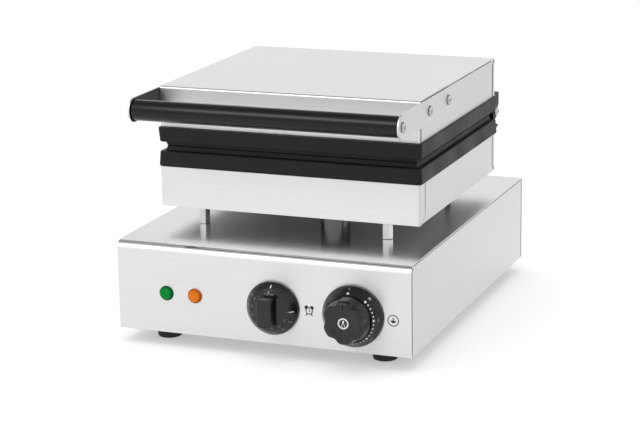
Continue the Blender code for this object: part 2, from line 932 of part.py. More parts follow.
def smooth_path(knots, pieces):
    # Catmull-Rom through the knots, which keeps the path smooth at each of them.
    points = []
    ends = [2 * knots[0] - knots[1], *knots, 2 * knots[-1] - knots[-2]]
    for a, b, c, d in zip(ends, ends[1:], ends[2:], ends[3:]):
        for i in range(pieces):
            t = i / pieces
            square = (2 * a - 5 * b + 4 * c - d) * t**2
            cube = (3 * b - a - 3 * c + d) * t**3
            points.append((2 * b + (c - a) * t + square + cube) / 2)
    points.append(knots[-1])
    return points


def heater_path(z):
    # Four passes joined by half turns, clear of the post bosses.
    pitch = heater_pitch_share * plate_width
    near = plate_front + heater_end_share * plate_depth
    far = plate_rear - heater_end_share * plate_depth
    points = []
    for i in range(4):
        x = (i - 1.5) * pitch
        ends = (near, far) if i % 2 == 0 else (far, near)
        points.append(Vector((x, ends[0], z)))
        if i == 3:
            points.append(Vector((x, ends[1], z)))
            break
        turn = 1 if i % 2 == 0 else -1
        for u, v in arc((x + pitch / 2, ends[1]), pitch / 2, 180, 180 - turn * 180, 8)[:-1]:
            points.append(Vector((u, v, z)))
    return points


def build_heaters():
    for name, up, parent in (("lower", -1, machine), ("upper", 1, lid_axis)):
        depth = cavity_depth + web + fit + heater_radius
        points = heater_path(parting + up * depth)
        tube(f"{name}_heater", points, [heater_radius] * len(points), 1, heater_steel, parent)
        near = parting + up * (depth + heater_radius + fit)
        far = near + up * base_sheet
        half = clamp_share * heater_pitch_share * plate_width
        rows = (plate_setback - 2 * plate_wall, plate_setback + 2 * plate_wall)
        outline = rounded(-half, half, *rows, plate_wall / 2, 2)
        bar = prism(outline, min(near, far), max(near, far), "z")
        add(f"{name}_heater_clamp", bar, galvanised, parent)


def build_capillary(thermostat_end):
    # The bulb lies under the lower plate and its capillary runs through the wiring tube to the thermostat.
    z = parting - cavity_depth - web - fit - bulb_radius
    bulb_start = plate_setback + bulb_share * plate_depth
    bulb_end = plate_setback - bulb_share * plate_depth
    beside, before, turned_in = capillary_shares
    knots = [
        Vector((0, bulb_end - 4 * bulb_radius, z)),
        Vector((beside * wiring_place[0], before * wiring_place[1], z - 2 * bulb_radius)),
        Vector((*wiring_place, housing_bottom + housing_height / 3)),
        Vector((*wiring_place, base_top)),
        Vector((*wiring_place, base_top - base_height / 4)),
        Vector((turned_in * thermostat_x, thermostat_end + base_depth / 12, knob_z + base_height / 12)),
        Vector((thermostat_x, thermostat_end + base_depth / 40, knob_z)),
        Vector((thermostat_x, thermostat_end + fit, knob_z)),
    ]
    points = [
        Vector((0, bulb_start, z)),
        Vector((0, bulb_end, z)),
        Vector((0, bulb_end - bulb_radius, z)),
    ]
    radii = [bulb_radius, bulb_radius, capillary_radius]
    route = smooth_path(knots, 5)
    points += route
    radii += [capillary_radius] * len(route)
    tube("thermostat_capillary", points, radii, 1, polished, machine)


def domed_screw(name, place, side, outer, length, parent):
    profile = [(share * screw_head, side * (outer + rise * screw_head)) for share, rise in dome_shares]
    profile += [(screw_radius, side * outer), (screw_radius, side * (outer - length))]
    add(name, turned(profile, place, "x", small_steps), polished, parent)


def build_lid():
    cover = folded_cover(
        "lid_cover",
        lid_width,
        lid_front,
        lid_rear,
        lid_bottom,
        lid_top,
        lid_sheet,
        lid_bend,
        stainless,
        lid_axis,
    )
    inner_face = lid_width / 2 + fit
    outer_face = inner_face + bracket_sheet
    screw_places = []
    for share in bracket_screw_shares:
        screw_places.append((handle_y + share * (handle_reach + bracket_reach), handle_z))
    bore = screw_radius + fit
    holes = []
    for side in (-1, 1):
        for place in screw_places[1:]:
            ends = (side * (lid_width / 2 - lid_sheet - reach), side * (lid_width / 2 + reach))
            holes.append(turned([(bore, ends[0]), (bore, ends[1])], place, "x", small_steps))
    place = (conduit_x, conduit_lid_z)
    ends = (lid_rear - lid_sheet - reach, lid_rear + reach)
    holes.append(turned([(conduit_bore, ends[0]), (conduit_bore, ends[1])], place, "y", small_steps))
    cut(cover, *holes)
    half = inner_face - fit
    section = [
        (handle_radius, -half),
        (handle_radius, half),
        (grip_bore_share * handle_radius, half),
        (grip_bore_share * handle_radius, -half),
    ]
    grip = turned(section, (handle_y, handle_z), "x", fine_steps, closed=True)
    add("handle_grip", grip, knob_plastic, lid_axis)
    rod_radius = grip_bore_share * handle_radius - fit
    rod = add(
        "handle_rod",
        turned([(rod_radius, -half), (rod_radius, half)], (handle_y, handle_z), "x", small_steps),
        steel,
        lid_axis,
    )
    depth = 3 * screw_head
    sockets = []
    for side in (-1, 1):
        ends = (side * (half - depth), side * (half + reach))
        sockets.append(turned([(bore, ends[0]), (bore, ends[1])], (handle_y, handle_z), "x", small_steps))
    cut(rod, *sockets)
    for name, side in (("left", -1), ("right", 1)):
        outline = capsule(screw_places[0], screw_places[-1], bracket_radius)
        plate = prism(outline, side * inner_face, side * outer_face, "x")
        bracket = add(f"handle_bracket_{name}", plate, stainless, lid_axis)
        openings = []
        for place in screw_places:
            ends = (side * (inner_face - reach), side * (outer_face + reach))
            openings.append(turned([(bore, ends[0]), (bore, ends[1])], place, "x", small_steps))
        cut(bracket, *openings)
        outer = outer_face + fit
        long, short = (share * screw_head for share in (handle_screw_share, bracket_screw_share))
        domed_screw(f"handle_screw_{name}", screw_places[0], side, outer, long, lid_axis)
        domed_screw(f"bracket_screw_front_{name}", screw_places[1], side, outer, short, lid_axis)
        domed_screw(f"bracket_screw_rear_{name}", screw_places[2], side, outer, short, lid_axis)


def conduit_route():
    # Up from the base's top, back a little, then forward into the lid's rear wall.
    low = Vector((conduit_x, conduit_y, base_top + fitting_radius + 2 * fit))
    high = Vector((conduit_x, lid_rear + fitting_radius + 2 * fit, conduit_lid_z))
    straight = 2 * conduit_radius
    rise = high.z - low.z
    bends = [low + Vector((0, back * conduit_setback, up * rise)) for back, up in route_shares]
    lead = high + Vector((0, route_lead_share * conduit_setback, 0))
    return [
        low,
        low + Vector((0, 0, straight)),
        *bends,
        lead,
        high + Vector((0, straight, 0)),
        high,
    ]


def even_points(points, count):
    # The same path with equally spaced points.
    lengths = [0.0]
    for a, b in zip(points, points[1:]):
        lengths.append(lengths[-1] + (b - a).length)
    spaced = []
    place = 0
    for i in range(count):
        goal = lengths[-1] * i / (count - 1)
        while place < len(points) - 2 and lengths[place + 1] < goal:
            place += 1
        share = (goal - lengths[place]) / (lengths[place + 1] - lengths[place])
        spaced.append(points[place].lerp(points[place + 1], share))
    return spaced


def hose_ring(points, i, radius):
    # A ring square to the path, which lies in a plane of constant X.
    before = points[max(i - 1, 0)]
    after = points[min(i + 1, len(points) - 1)]
    across = (after - before).normalized().cross(Vector((1, 0, 0)))
    return [points[i] + Vector((u, 0, 0)) + v * across for u, v in circle((0, 0), radius, hose_sides)]


def build_conduit():
    height, sleeve = (share * fitting_radius for share in fitting_shares)
    section = [
        (fitting_radius, fit),
        (fitting_radius, height - fit),
        (sleeve, height),
        (sleeve, fit + fitting_radius),
        (conduit_bore, fit + fitting_radius),
        (conduit_bore, fit),
    ]
    for name, start, place, axis, parent in (
        ("base", base_top, (conduit_x, conduit_y), "z", machine),
        ("lid", lid_rear, (conduit_x, conduit_lid_z), "y", lid_axis),
    ):
        ring = [(radius, start + along) for radius, along in section]
        add(f"conduit_fitting_{name}", turned(ring, place, axis, closed=True), steel, parent)
    smooth = smooth_path(conduit_route(), 8)
    outer = even_points(smooth, 2 * conduit_ribs)
    inner = even_points(smooth, conduit_ribs // 2)
    rings = []
    for i in range(len(outer)):
        rings.append(hose_ring(outer, i, conduit_radius if i % 2 else rib_share * conduit_radius))
    for i in reversed(range(len(inner))):
        rings.append(hose_ring(inner, i, conduit_bore))
    add("flexible_conduit", loft(rings, closed=True), polished, machine)


clear_scene()
stainless = surface("brushed_stainless", (0.62, 0.62, 0.61), 0.28, 1.0)
polished = surface("polished_steel", (0.68, 0.68, 0.68), 0.15, 1.0)
galvanised = surface("galvanised_steel", (0.45, 0.46, 0.47), 0.45, 1.0)
steel = surface("zinc_plated_steel", (0.60, 0.61, 0.62), 0.25, 1.0)
heater_steel = surface("heater_sheath", (0.24, 0.23, 0.22), 0.40, 1.0)
cast_coating = surface("black_coated_cast", (0.022, 0.022, 0.022), 0.50, 0.0)
rubber = surface("black_rubber", (0.018, 0.018, 0.018), 0.70, 0.0)
knob_plastic = surface("black_phenolic", (0.020, 0.020, 0.021), 0.35, 0.0)
dark_plastic = surface("dark_plastic", (0.035, 0.035, 0.037), 0.45, 0.0)
ceramic = surface("terminal_ceramic", (0.75, 0.72, 0.66), 0.50, 0.0)
green_plastic = surface("green_lens", (0.05, 0.35, 0.10), 0.15, 0.0)
orange_plastic = surface("orange_lens", (0.80, 0.20, 0.03), 0.15, 0.0)

machine = empty("machine", (0, base_shift, 0))
lid_axis = empty("lid_axis", (0, hinge_y, hinge_z), machine)
build_base()
build_bottom_cover()
build_feet()
build_lamps()
capillary_start = build_controls()
build_wiring()
build_posts()
build_housing()
build_plates()
build_hinge_bolts()
build_heaters()
build_capillary(capillary_start)
build_lid()
build_conduit()
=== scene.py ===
import json
import math
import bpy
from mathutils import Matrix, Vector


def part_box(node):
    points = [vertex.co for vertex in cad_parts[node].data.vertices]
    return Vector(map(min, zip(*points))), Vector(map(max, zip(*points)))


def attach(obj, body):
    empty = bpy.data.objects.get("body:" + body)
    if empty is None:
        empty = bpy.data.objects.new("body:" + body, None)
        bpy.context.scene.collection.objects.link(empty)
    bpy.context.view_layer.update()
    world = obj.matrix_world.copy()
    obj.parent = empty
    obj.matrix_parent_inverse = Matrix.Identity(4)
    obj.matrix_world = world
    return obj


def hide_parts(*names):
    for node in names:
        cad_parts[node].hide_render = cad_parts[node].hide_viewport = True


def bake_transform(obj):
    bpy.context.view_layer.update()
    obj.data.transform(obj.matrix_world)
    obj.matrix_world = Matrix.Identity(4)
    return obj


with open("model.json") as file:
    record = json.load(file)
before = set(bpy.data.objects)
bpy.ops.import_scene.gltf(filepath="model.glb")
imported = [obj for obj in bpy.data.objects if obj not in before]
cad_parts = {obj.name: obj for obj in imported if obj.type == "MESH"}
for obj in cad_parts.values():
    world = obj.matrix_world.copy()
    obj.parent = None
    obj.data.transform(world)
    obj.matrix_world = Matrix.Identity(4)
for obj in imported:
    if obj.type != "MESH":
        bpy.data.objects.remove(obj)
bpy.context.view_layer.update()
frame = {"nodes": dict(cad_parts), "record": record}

from types import SimpleNamespace

import bmesh
import bpy
from mathutils import Matrix, Vector

nodes = frame["nodes"]
corners = ("front_left", "front_right", "rear_left", "rear_right")
sides = (("left", -1), ("right", 1))
past = 0.002  # how far a cutter reaches beyond the face it cuts
print("Frame loaded:", len(nodes), "nodes")


# Small helpers

def named(values):
    # Lets a dictionary of values be read as v.name
    return SimpleNamespace(**values)


def hexColour(code):
    # sRGB hex to the linear values that a shader takes
    parts = [int(code[i:i + 2], 16) / 255 for i in (0, 2, 4)]
    return (*(part / 12.92 if part <= 0.04045 else ((part + 0.055) / 1.055) ** 2.4 for part in parts), 1.0)


def addNode(tree, kind, links=None, **settings):
    # Adds a node, sets its properties and fills or links its sockets, by name or number
    made = tree.nodes.new(kind)
    for name, value in settings.items():
        setattr(made, name, value)
    for name, value in (links or {}).items():
        if isinstance(value, bpy.types.NodeSocket):
            tree.links.new(value, made.inputs[name])
        else:
            made.inputs[name].default_value = value
    return made


def newMaterial(name, colour, roughness, metallic=0.0, **others):
    material = bpy.data.materials.new(name)
    material.use_nodes = True
    shader = material.node_tree.nodes["Principled BSDF"]
    settings = {"Base_Color": hexColour(colour), "Roughness": roughness, "Metallic": metallic, **others}
    for socket, value in settings.items():
        shader.inputs[socket.replace("_", " ")].default_value = value
    return material, material.node_tree, shader


def newObject(name, data):
    made = bpy.data.objects.new(name, data)
    bpy.context.scene.collection.objects.link(made)
    return made


def meshObject(name, body, material):
    mesh = bpy.data.meshes.new(name)
    bmesh.ops.recalc_face_normals(body, faces=body.faces)
    body.to_mesh(mesh)
    body.free()
    mesh.materials.append(material)
    return newObject(name, mesh)


def addModifier(made, kind, **settings):
    step = made.modifiers.new(kind.title(), kind)
    for name, value in settings.items():
        setattr(step, name, value)


def settle(made, angle=30):
    # Turns live modifiers into plain mesh, then shades it smooth up to the given angle
    bpy.context.view_layer.update()
    mesh = bpy.data.meshes.new_from_object(made.evaluated_get(bpy.context.evaluated_depsgraph_get()))
    if not len(mesh.materials) and made.type == "MESH":
        for material in made.data.materials:
            mesh.materials.append(material)
    name = mesh.name = made.name
    plain = newObject(name + "Plain", mesh)
    bpy.data.objects.remove(made)
    plain.name = name
    if angle is not None:
        mesh.shade_smooth()
        mesh.set_sharp_from_angle(angle=math.radians(angle))
    return plain


def soften(made, width, angle=40, segments=2):
    # A small rounded edge all round, with flat faces kept flat in shading
    addModifier(
        made, "BEVEL", width=width, segments=segments, limit_method="ANGLE",
        angle_limit=math.radians(angle), use_clamp_overlap=True, harden_normals=False,
    )
    addModifier(made, "WEIGHTED_NORMAL", keep_sharp=True)
    for face in made.data.polygons:
        face.use_smooth = True
    bpy.context.view_layer.update()
    return settle(made, None)


def carve(made, *cutters, operation="DIFFERENCE"):
    # Cuts bodies or objects away from a piece, or joins them to it
    material = made.data.materials[0]
    cutters = [
        cutter if isinstance(cutter, bpy.types.Object) else meshObject("cutter", cutter, material)
        for cutter in cutters
    ]
    for cutter in cutters:
        addModifier(made, "BOOLEAN", operation=operation, solver="EXACT", object=cutter)
        cutter.hide_render = True
    plain = settle(made, None)
    for cutter in cutters:
        bpy.data.objects.remove(cutter)
    return plain


def joined(name, parts):
    # Puts several finished meshes into one piece
    whole = bmesh.new()
    materials = []
    for part in parts:
        own = list(part.data.materials)
        for material in own:
            if material not in materials:
                materials.append(material)
        before = len(whole.faces)
        whole.from_mesh(part.data)
        whole.faces.ensure_lookup_table()
        for face in whole.faces[before:]:
            face.material_index = materials.index(own[min(face.material_index, len(own) - 1)])
        bpy.data.objects.remove(part)
    mesh = bpy.data.meshes.new(name)
    whole.to_mesh(mesh)
    whole.free()
    for material in materials:
        mesh.materials.append(material)
    return newObject(name, mesh)


def refined(name, node, material, width, angle=30):
    # A copy of a solid, its triangles merged into flat faces and its edges rounded
    body = bmesh.new()
    body.from_mesh(nodes[node].data)
    bmesh.ops.remove_doubles(body, verts=body.verts, dist=0.000002)
    bmesh.ops.dissolve_limit(
        body, angle_limit=math.radians(0.6), verts=body.verts, edges=body.edges,
        use_dissolve_boundaries=False,
    )
    return soften(meshObject(name, body, material), width, angle)


def dress(piece, body, slot, *replaced):
    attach(piece, body)
    if replaced:
        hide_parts(*replaced)


# Outlines and bodies

def arc(centre, radius, start, end, steps):
    turns = [math.radians(start + (end - start) * i / steps) for i in range(steps + 1)]
    return [(centre[0] + radius * math.cos(t), centre[1] + radius * math.sin(t)) for t in turns]


def circle(centre, radius, steps):
    return arc(centre, radius, 0, 360, steps)[:-1]


def roundedBox(u0, u1, v0, v1, radius, steps=6):
    return (
        arc((u1 - radius, v0 + radius), radius, -90, 0, steps)
        + arc((u1 - radius, v1 - radius), radius, 0, 90, steps)
        + arc((u0 + radius, v1 - radius), radius, 90, 180, steps)
        + arc((u0 + radius, v0 + radius), radius, 180, 270, steps)
    )


def strip(points, width):
    # A band of even width in depth along the points
    return points + [(y + width, z) for y, z in reversed(points)]


def onAxis(u, v, along, axis):
    return {"x": (along, u, v), "y": (u, along, v), "z": (u, v, along)}[axis]


def loft(rings, looped=False, body=None):
    body = body or bmesh.new()
    rows = [[body.verts.new(point) for point in ring] for ring in rings]
    pairs = list(zip(rows, rows[1:]))
    if looped:
        pairs.append((rows[-1], rows[0]))
    for lower, upper in pairs:
        for i in range(len(lower)):
            j = (i + 1) % len(lower)
            body.faces.new((lower[i], lower[j], upper[j], upper[i]))
    if not looped:
        body.faces.new(rows[0])
        body.faces.new(rows[-1])
    return body


def prism(outline, start, end, axis, body=None):
    return loft([[onAxis(u, v, along, axis) for u, v in outline] for along in (start, end)], body=body)


def lathe(profile, centre, axis, steps, looped=False, body=None):
    # profile: radius and place along the axis
    return loft([
        [onAxis(u, v, along, axis) for u, v in circle(centre, radius, steps)] for radius, along in profile
    ], looped, body)


def rod(radius, start, end, centre, axis, steps, body=None):
    return lathe([(radius, start), (radius, end)], centre, axis, steps, body=body)


def boxBody(x0, x1, y0, y1, z0, z1, body=None):
    return prism([(x0, y0), (x1, y0), (x1, y1), (x0, y1)], z0, z1, "z", body)


def turned(name, profile, centre, axis, steps, material, angle):
    # A turned piece with an open bore
    return settle(meshObject(name, lathe(profile, centre, axis, steps, looped=True), material), angle)


def camel(*words):
    first, *others = "_".join(words).split("_")
    return first + "".join(word.title() for word in others)


def span(name):
    low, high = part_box(name)
    return low, high, (low + high) / 2


def centreOf(name, axis):
    # Middle of a node as seen along an axis
    return [value for value, letter in zip(span(name)[2], "xyz") if letter != axis]


def drill(radius, node, axis, at, steps, reach=0.003, body=None):
    # A round cutter through a wall at the middle of a node
    return rod(radius, at - reach, at + reach, centreOf(node, axis), axis, steps, body)


# Materials

def brushedStainless(name, roughness, contrast, stretch):
    # Austenitic stainless sheet with a brushed face: fine straight strokes that blur reflections across
    # them, with faint cloudy patches from handling. Real strokes are 0.1 mm apart, drawn at 0.7 mm so that
    # they show.
    dark, light = "d6d6d6", "dddddd"
    material, tree, shader = newMaterial(
        name, light, roughness, 1.0, Anisotropic=stretch, Anisotropic_Rotation=0.25
    )
    coordinates = addNode(tree, "ShaderNodeTexCoord").outputs
    place, normal = coordinates["Object"], coordinates["Normal"]
    wall = addNode(tree, "ShaderNodeTexNoise", {
        "Vector": addNode(tree, "ShaderNodeMapping", {
            "Vector": place, "Scale": (6, 6, 1400),
        }).outputs["Vector"],
        "Scale": 1.0, "Detail": 3.0, "Roughness": 0.6,
    }).outputs["Fac"]
    top = addNode(tree, "ShaderNodeTexNoise", {
        "Vector": addNode(tree, "ShaderNodeMapping", {
            "Vector": place, "Scale": (6, 1400, 6),
        }).outputs["Vector"],
        "Scale": 1.0, "Detail": 3.0, "Roughness": 0.6,
    }).outputs["Fac"]
    # The strokes lie level on the walls and run from side to side on the top
    level = addNode(tree, "ShaderNodeVectorMath", {
        0: normal, 1: (0, 0, 1),
    }, operation="CROSS_PRODUCT").outputs["Vector"]
    stroke = addNode(tree, "ShaderNodeVectorMath", {
        0: level, 1: (-0.02, 0, 0),
    }, operation="ADD").outputs["Vector"]
    stroke = addNode(tree, "ShaderNodeVectorMath", {0: stroke}, operation="NORMALIZE").outputs["Vector"]
    tree.links.new(stroke, shader.inputs["Tangent"])
    upright = addNode(tree, "ShaderNodeMath", {
        0: addNode(tree, "ShaderNodeSeparateXYZ", {"Vector": normal}).outputs["Z"],
    }, operation="ABSOLUTE").outputs[0]
    onTop = addNode(tree, "ShaderNodeMath", {0: upright, 1: 0.7}, operation="GREATER_THAN").outputs[0]
    grain = addNode(tree, "ShaderNodeMix", {
        "Factor": onTop, "A": wall, "B": top,
    }, data_type="FLOAT").outputs["Result"]
    clouds = addNode(tree, "ShaderNodeTexNoise", {
        "Vector": place, "Scale": 14.0, "Detail": 3.0, "Roughness": 0.55,
    }).outputs["Fac"]
    streaked = addNode(tree, "ShaderNodeMapRange", {
        "Value": grain, "From Min": 0.3, "From Max": 0.7, "To Min": roughness - 0.06 * contrast,
        "To Max": roughness + 0.08 * contrast,
    }).outputs["Result"]
    cloudy = addNode(tree, "ShaderNodeMapRange", {
        "Value": clouds, "From Min": 0.3, "From Max": 0.7, "To Min": -0.025 * contrast,
        "To Max": 0.025 * contrast,
    }).outputs["Result"]
    shine = addNode(tree, "ShaderNodeMath", {0: streaked, 1: cloudy}, operation="ADD").outputs[0]
    tree.links.new(shine, shader.inputs["Roughness"])
    blend = addNode(tree, "ShaderNodeMix", {
        "Factor": addNode(tree, "ShaderNodeMapRange", {
            "Value": grain, "From Min": 0.3, "From Max": 0.7, "To Min": 0.0, "To Max": 1.0,
        }).outputs["Result"],
        6: hexColour(dark), 7: hexColour(light),
    }, data_type="RGBA").outputs[2]
    tree.links.new(blend, shader.inputs["Base Color"])
    relief = addNode(tree, "ShaderNodeBump", {
        "Height": grain, "Distance": 0.00002 * contrast, "Strength": 0.5,
    }).outputs["Normal"]
    tree.links.new(relief, shader.inputs["Normal"])
    return material


def polishedSteel(name="polishedSteel", colour="dcdcdb", roughness=0.10):
    # Drawn and polished stainless: near a mirror, with fine die lines along it
    material, tree, shader = newMaterial(name, colour, roughness, 1.0)
    place = addNode(tree, "ShaderNodeTexCoord").outputs["Object"]
    lines = addNode(tree, "ShaderNodeTexNoise", {
        "Vector": addNode(tree, "ShaderNodeMapping", {
            "Vector": place, "Scale": (900, 900, 12),
        }).outputs["Vector"],
        "Scale": 1.0, "Detail": 2.0,
    }).outputs["Fac"]
    shine = addNode(tree, "ShaderNodeMapRange", {
        "Value": lines, "From Min": 0.3, "From Max": 0.7, "To Min": roughness - 0.04,
        "To Max": roughness + 0.07,
    }).outputs["Result"]
    tree.links.new(shine, shader.inputs["Roughness"])
    return material


def zincPlated():
    # Zinc-plated steel hardware: bright, slightly blue, with a fine crystalline unevenness
    material, tree, shader = newMaterial("zincPlatedSteel", "c4c8cb", 0.28, 1.0)
    place = addNode(tree, "ShaderNodeTexCoord").outputs["Object"]
    shine = addNode(tree, "ShaderNodeMapRange", {
        "Value": addNode(tree, "ShaderNodeTexNoise", {
            "Vector": place, "Scale": 900.0, "Detail": 3.0,
        }).outputs["Fac"],
        "From Min": 0.3, "From Max": 0.7, "To Min": 0.2, "To Max": 0.42,
    }).outputs["Result"]
    tree.links.new(shine, shader.inputs["Roughness"])
    return material


def galvanisedSheet(name="galvanisedSheet", colour="8d9092", roughness=0.42, metallic=1.0):
    # Hot-dip galvanised sheet: spangle cells of about 6 mm that differ a little in shine and tone
    material, tree, shader = newMaterial(name, colour, roughness, metallic)
    place = addNode(tree, "ShaderNodeTexCoord").outputs["Object"]
    cells = addNode(tree, "ShaderNodeTexVoronoi", {"Vector": place, "Scale": 170.0, "Randomness": 1.0})
    tone = addNode(tree, "ShaderNodeSeparateColor", {"Color": cells.outputs["Color"]}).outputs[0]
    shine = addNode(tree, "ShaderNodeMapRange", {
        "Value": tone, "From Min": 0.0, "From Max": 1.0, "To Min": roughness - 0.1,
        "To Max": roughness + 0.14,
    }).outputs["Result"]
    tree.links.new(shine, shader.inputs["Roughness"])
    darker = (*(0.75 * part for part in hexColour(colour)[:3]), 1.0)
    blend = addNode(tree, "ShaderNodeMix", {
        "Factor": tone, 6: darker, 7: hexColour(colour),
    }, data_type="RGBA").outputs[2]
    tree.links.new(blend, shader.inputs["Base Color"])
    return material


def coatedCasting():
    # Cast aluminium under a black non-stick coating: matt, with the fine orange peel of a sprayed film
    material, tree, shader = newMaterial("coatedCasting", "121213", 0.46, IOR=1.45, Specular_IOR_Level=0.3)
    place = addNode(tree, "ShaderNodeTexCoord").outputs["Object"]
    peel = addNode(tree, "ShaderNodeTexNoise", {
        "Vector": place, "Scale": 1100.0, "Detail": 3.0, "Roughness": 0.6,
    }).outputs["Fac"]
    patches = addNode(tree, "ShaderNodeTexNoise", {
        "Vector": place, "Scale": 30.0, "Detail": 3.0,
    }).outputs["Fac"]
    shine = addNode(tree, "ShaderNodeMapRange", {
        "Value": patches, "From Min": 0.3, "From Max": 0.7, "To Min": 0.38, "To Max": 0.54,
    }).outputs["Result"]
    tree.links.new(shine, shader.inputs["Roughness"])
    relief = addNode(tree, "ShaderNodeBump", {
        "Height": peel, "Distance": 0.00012, "Strength": 0.6,
    }).outputs["Normal"]
    tree.links.new(relief, shader.inputs["Normal"])
    blend = addNode(tree, "ShaderNodeMix", {
        "Factor": patches, 6: hexColour("101011"), 7: hexColour("181819"),
    }, data_type="RGBA").outputs[2]
    tree.links.new(blend, shader.inputs["Base Color"])
    return material


def mouldedPhenolic(name, colour, roughness, grit=1500.0, ior=1.5):
    # Compression-moulded phenolic: black, a soft sheen, a fine even grit left by the mould
    material, tree, shader = newMaterial(name, colour, roughness, IOR=ior)
    place = addNode(tree, "ShaderNodeTexCoord").outputs["Object"]
    shine = addNode(tree, "ShaderNodeMapRange", {
        "Value": addNode(tree, "ShaderNodeTexNoise", {
            "Vector": place, "Scale": 60.0, "Detail": 3.0,
        }).outputs["Fac"],
        "From Min": 0.3, "From Max": 0.7, "To Min": roughness - 0.05, "To Max": roughness + 0.08,
    }).outputs["Result"]
    tree.links.new(shine, shader.inputs["Roughness"])
    relief = addNode(tree, "ShaderNodeBump", {
        "Height": addNode(tree, "ShaderNodeTexNoise", {
            "Vector": place, "Scale": grit, "Detail": 2.0,
        }).outputs["Fac"],
        "Distance": 0.00006, "Strength": 0.5,
    }).outputs["Normal"]
    tree.links.new(relief, shader.inputs["Normal"])
    return material


def mouldedRubber():
    # Moulded black rubber: matt, dusty, softly mottled
    material, tree, shader = newMaterial("mouldedRubber", "161616", 0.7, IOR=1.52)
    place = addNode(tree, "ShaderNodeTexCoord").outputs["Object"]
    dust = addNode(tree, "ShaderNodeTexNoise", {
        "Vector": place, "Scale": 260.0, "Detail": 4.0,
    }).outputs["Fac"]
    blend = addNode(tree, "ShaderNodeMix", {
        "Factor": dust, 6: hexColour("101010"), 7: hexColour("232323"),
    }, data_type="RGBA").outputs[2]
    tree.links.new(blend, shader.inputs["Base Color"])
    relief = addNode(tree, "ShaderNodeBump", {
        "Height": dust, "Distance": 0.0001, "Strength": 0.5,
    }).outputs["Normal"]
    tree.links.new(relief, shader.inputs["Normal"])
    return material


def tintedLens(name, colour, deep):
    # Transparent polycarbonate over a neon lamp: saturated and glossy, lit evenly from inside the moulding
    material, tree, shader = newMaterial(name, colour, 0.2, IOR=1.5, Specular_IOR_Level=0.08)
    place = addNode(tree, "ShaderNodeTexCoord").outputs["Object"]
    blend = addNode(tree, "ShaderNodeMix", {
        "Factor": addNode(tree, "ShaderNodeMapRange", {
            "Value": addNode(tree, "ShaderNodeTexNoise", {
                "Vector": place, "Scale": 420.0, "Detail": 2.0,
            }).outputs["Fac"],
            "From Min": 0.3, "From Max": 0.7, "To Min": 0.0, "To Max": 1.0,
        }).outputs["Result"],
        6: hexColour(deep), 7: hexColour(colour),
    }, data_type="RGBA").outputs[2]
    tree.links.new(blend, shader.inputs["Base Color"])
    return material


def oxidisedSheath():
    # Heater sheath of nickel steel, darkened by heat in brown and blue patches
    material, tree, shader = newMaterial("oxidisedSheath", "5a5450", 0.42, 1.0)
    place = addNode(tree, "ShaderNodeTexCoord").outputs["Object"]
    heat = addNode(tree, "ShaderNodeTexNoise", {
        "Vector": place, "Scale": 90.0, "Detail": 4.0,
    }).outputs["Fac"]
    blend = addNode(tree, "ShaderNodeMix", {
        "Factor": addNode(tree, "ShaderNodeMapRange", {
            "Value": heat, "From Min": 0.35, "From Max": 0.65, "To Min": 0.0, "To Max": 1.0,
        }).outputs["Result"],
        6: hexColour("6b5a4c"), 7: hexColour("44474d"),
    }, data_type="RGBA").outputs[2]
    tree.links.new(blend, shader.inputs["Base Color"])
    return material


def plainMoulding(name, colour, roughness, speck=600.0):
    # Injection-moulded nylon or pressed steatite: even, faintly speckled
    material, tree, shader = newMaterial(name, colour, roughness, IOR=1.53)
    place = addNode(tree, "ShaderNodeTexCoord").outputs["Object"]
    grains = addNode(tree, "ShaderNodeTexNoise", {
        "Vector": place, "Scale": speck, "Detail": 3.0,
    }).outputs["Fac"]
    shine = addNode(tree, "ShaderNodeMapRange", {
        "Value": grains, "From Min": 0.3, "From Max": 0.7, "To Min": roughness - 0.08,
        "To Max": roughness + 0.1,
    }).outputs["Result"]
    tree.links.new(shine, shader.inputs["Roughness"])
    relief = addNode(tree, "ShaderNodeBump", {
        "Height": grains, "Distance": 0.00005, "Strength": 0.5,
    }).outputs["Normal"]
    tree.links.new(relief, shader.inputs["Normal"])
    return material


def printedInk(name, colour):
    # Screen-printed ink: a thin satin film with small voids
    material, tree, shader = newMaterial(name, colour, 0.5, IOR=1.5)
    place = addNode(tree, "ShaderNodeTexCoord").outputs["Object"]
    shine = addNode(tree, "ShaderNodeMapRange", {
        "Value": addNode(tree, "ShaderNodeTexNoise", {
            "Vector": place, "Scale": 1800.0, "Detail": 2.0,
        }).outputs["Fac"],
        "From Min": 0.3, "From Max": 0.7, "To Min": 0.4, "To Max": 0.65,
    }).outputs["Result"]
    tree.links.new(shine, shader.inputs["Roughness"])
    return material


sheetFinish = brushedStainless("satinStainless", 0.36, 0.22, 0.8)
topFinish = brushedStainless("brightStainless", 0.125, 0.2, 0.98)
barFinish = polishedSteel()
screwFinish = polishedSteel("burnishedScrew", "bebec0", 0.08)
tubeFinish = polishedSteel("burnishedTube", "6c6c6c", 0.12)
# A dark steel used as painted shade, in the covers' fold line and on the bracket faces towards the grip
paintedShadeFinish = polishedSteel("paintedShadeSteel", "4c4c4e", 0.4)
plateFinish = coatedCasting()
gripFinish = mouldedPhenolic("phenolicHandle", "08080a", 0.14, 900.0, 1.38)
knobFinish = mouldedPhenolic("phenolicKnob", "0b0b0c", 0.24)
rubberFinish = mouldedRubber()
greenFinish = tintedLens("greenPolycarbonate", "009c3c", "008431")
orangeFinish = tintedLens("orangePolycarbonate", "f58a22", "ec7714")
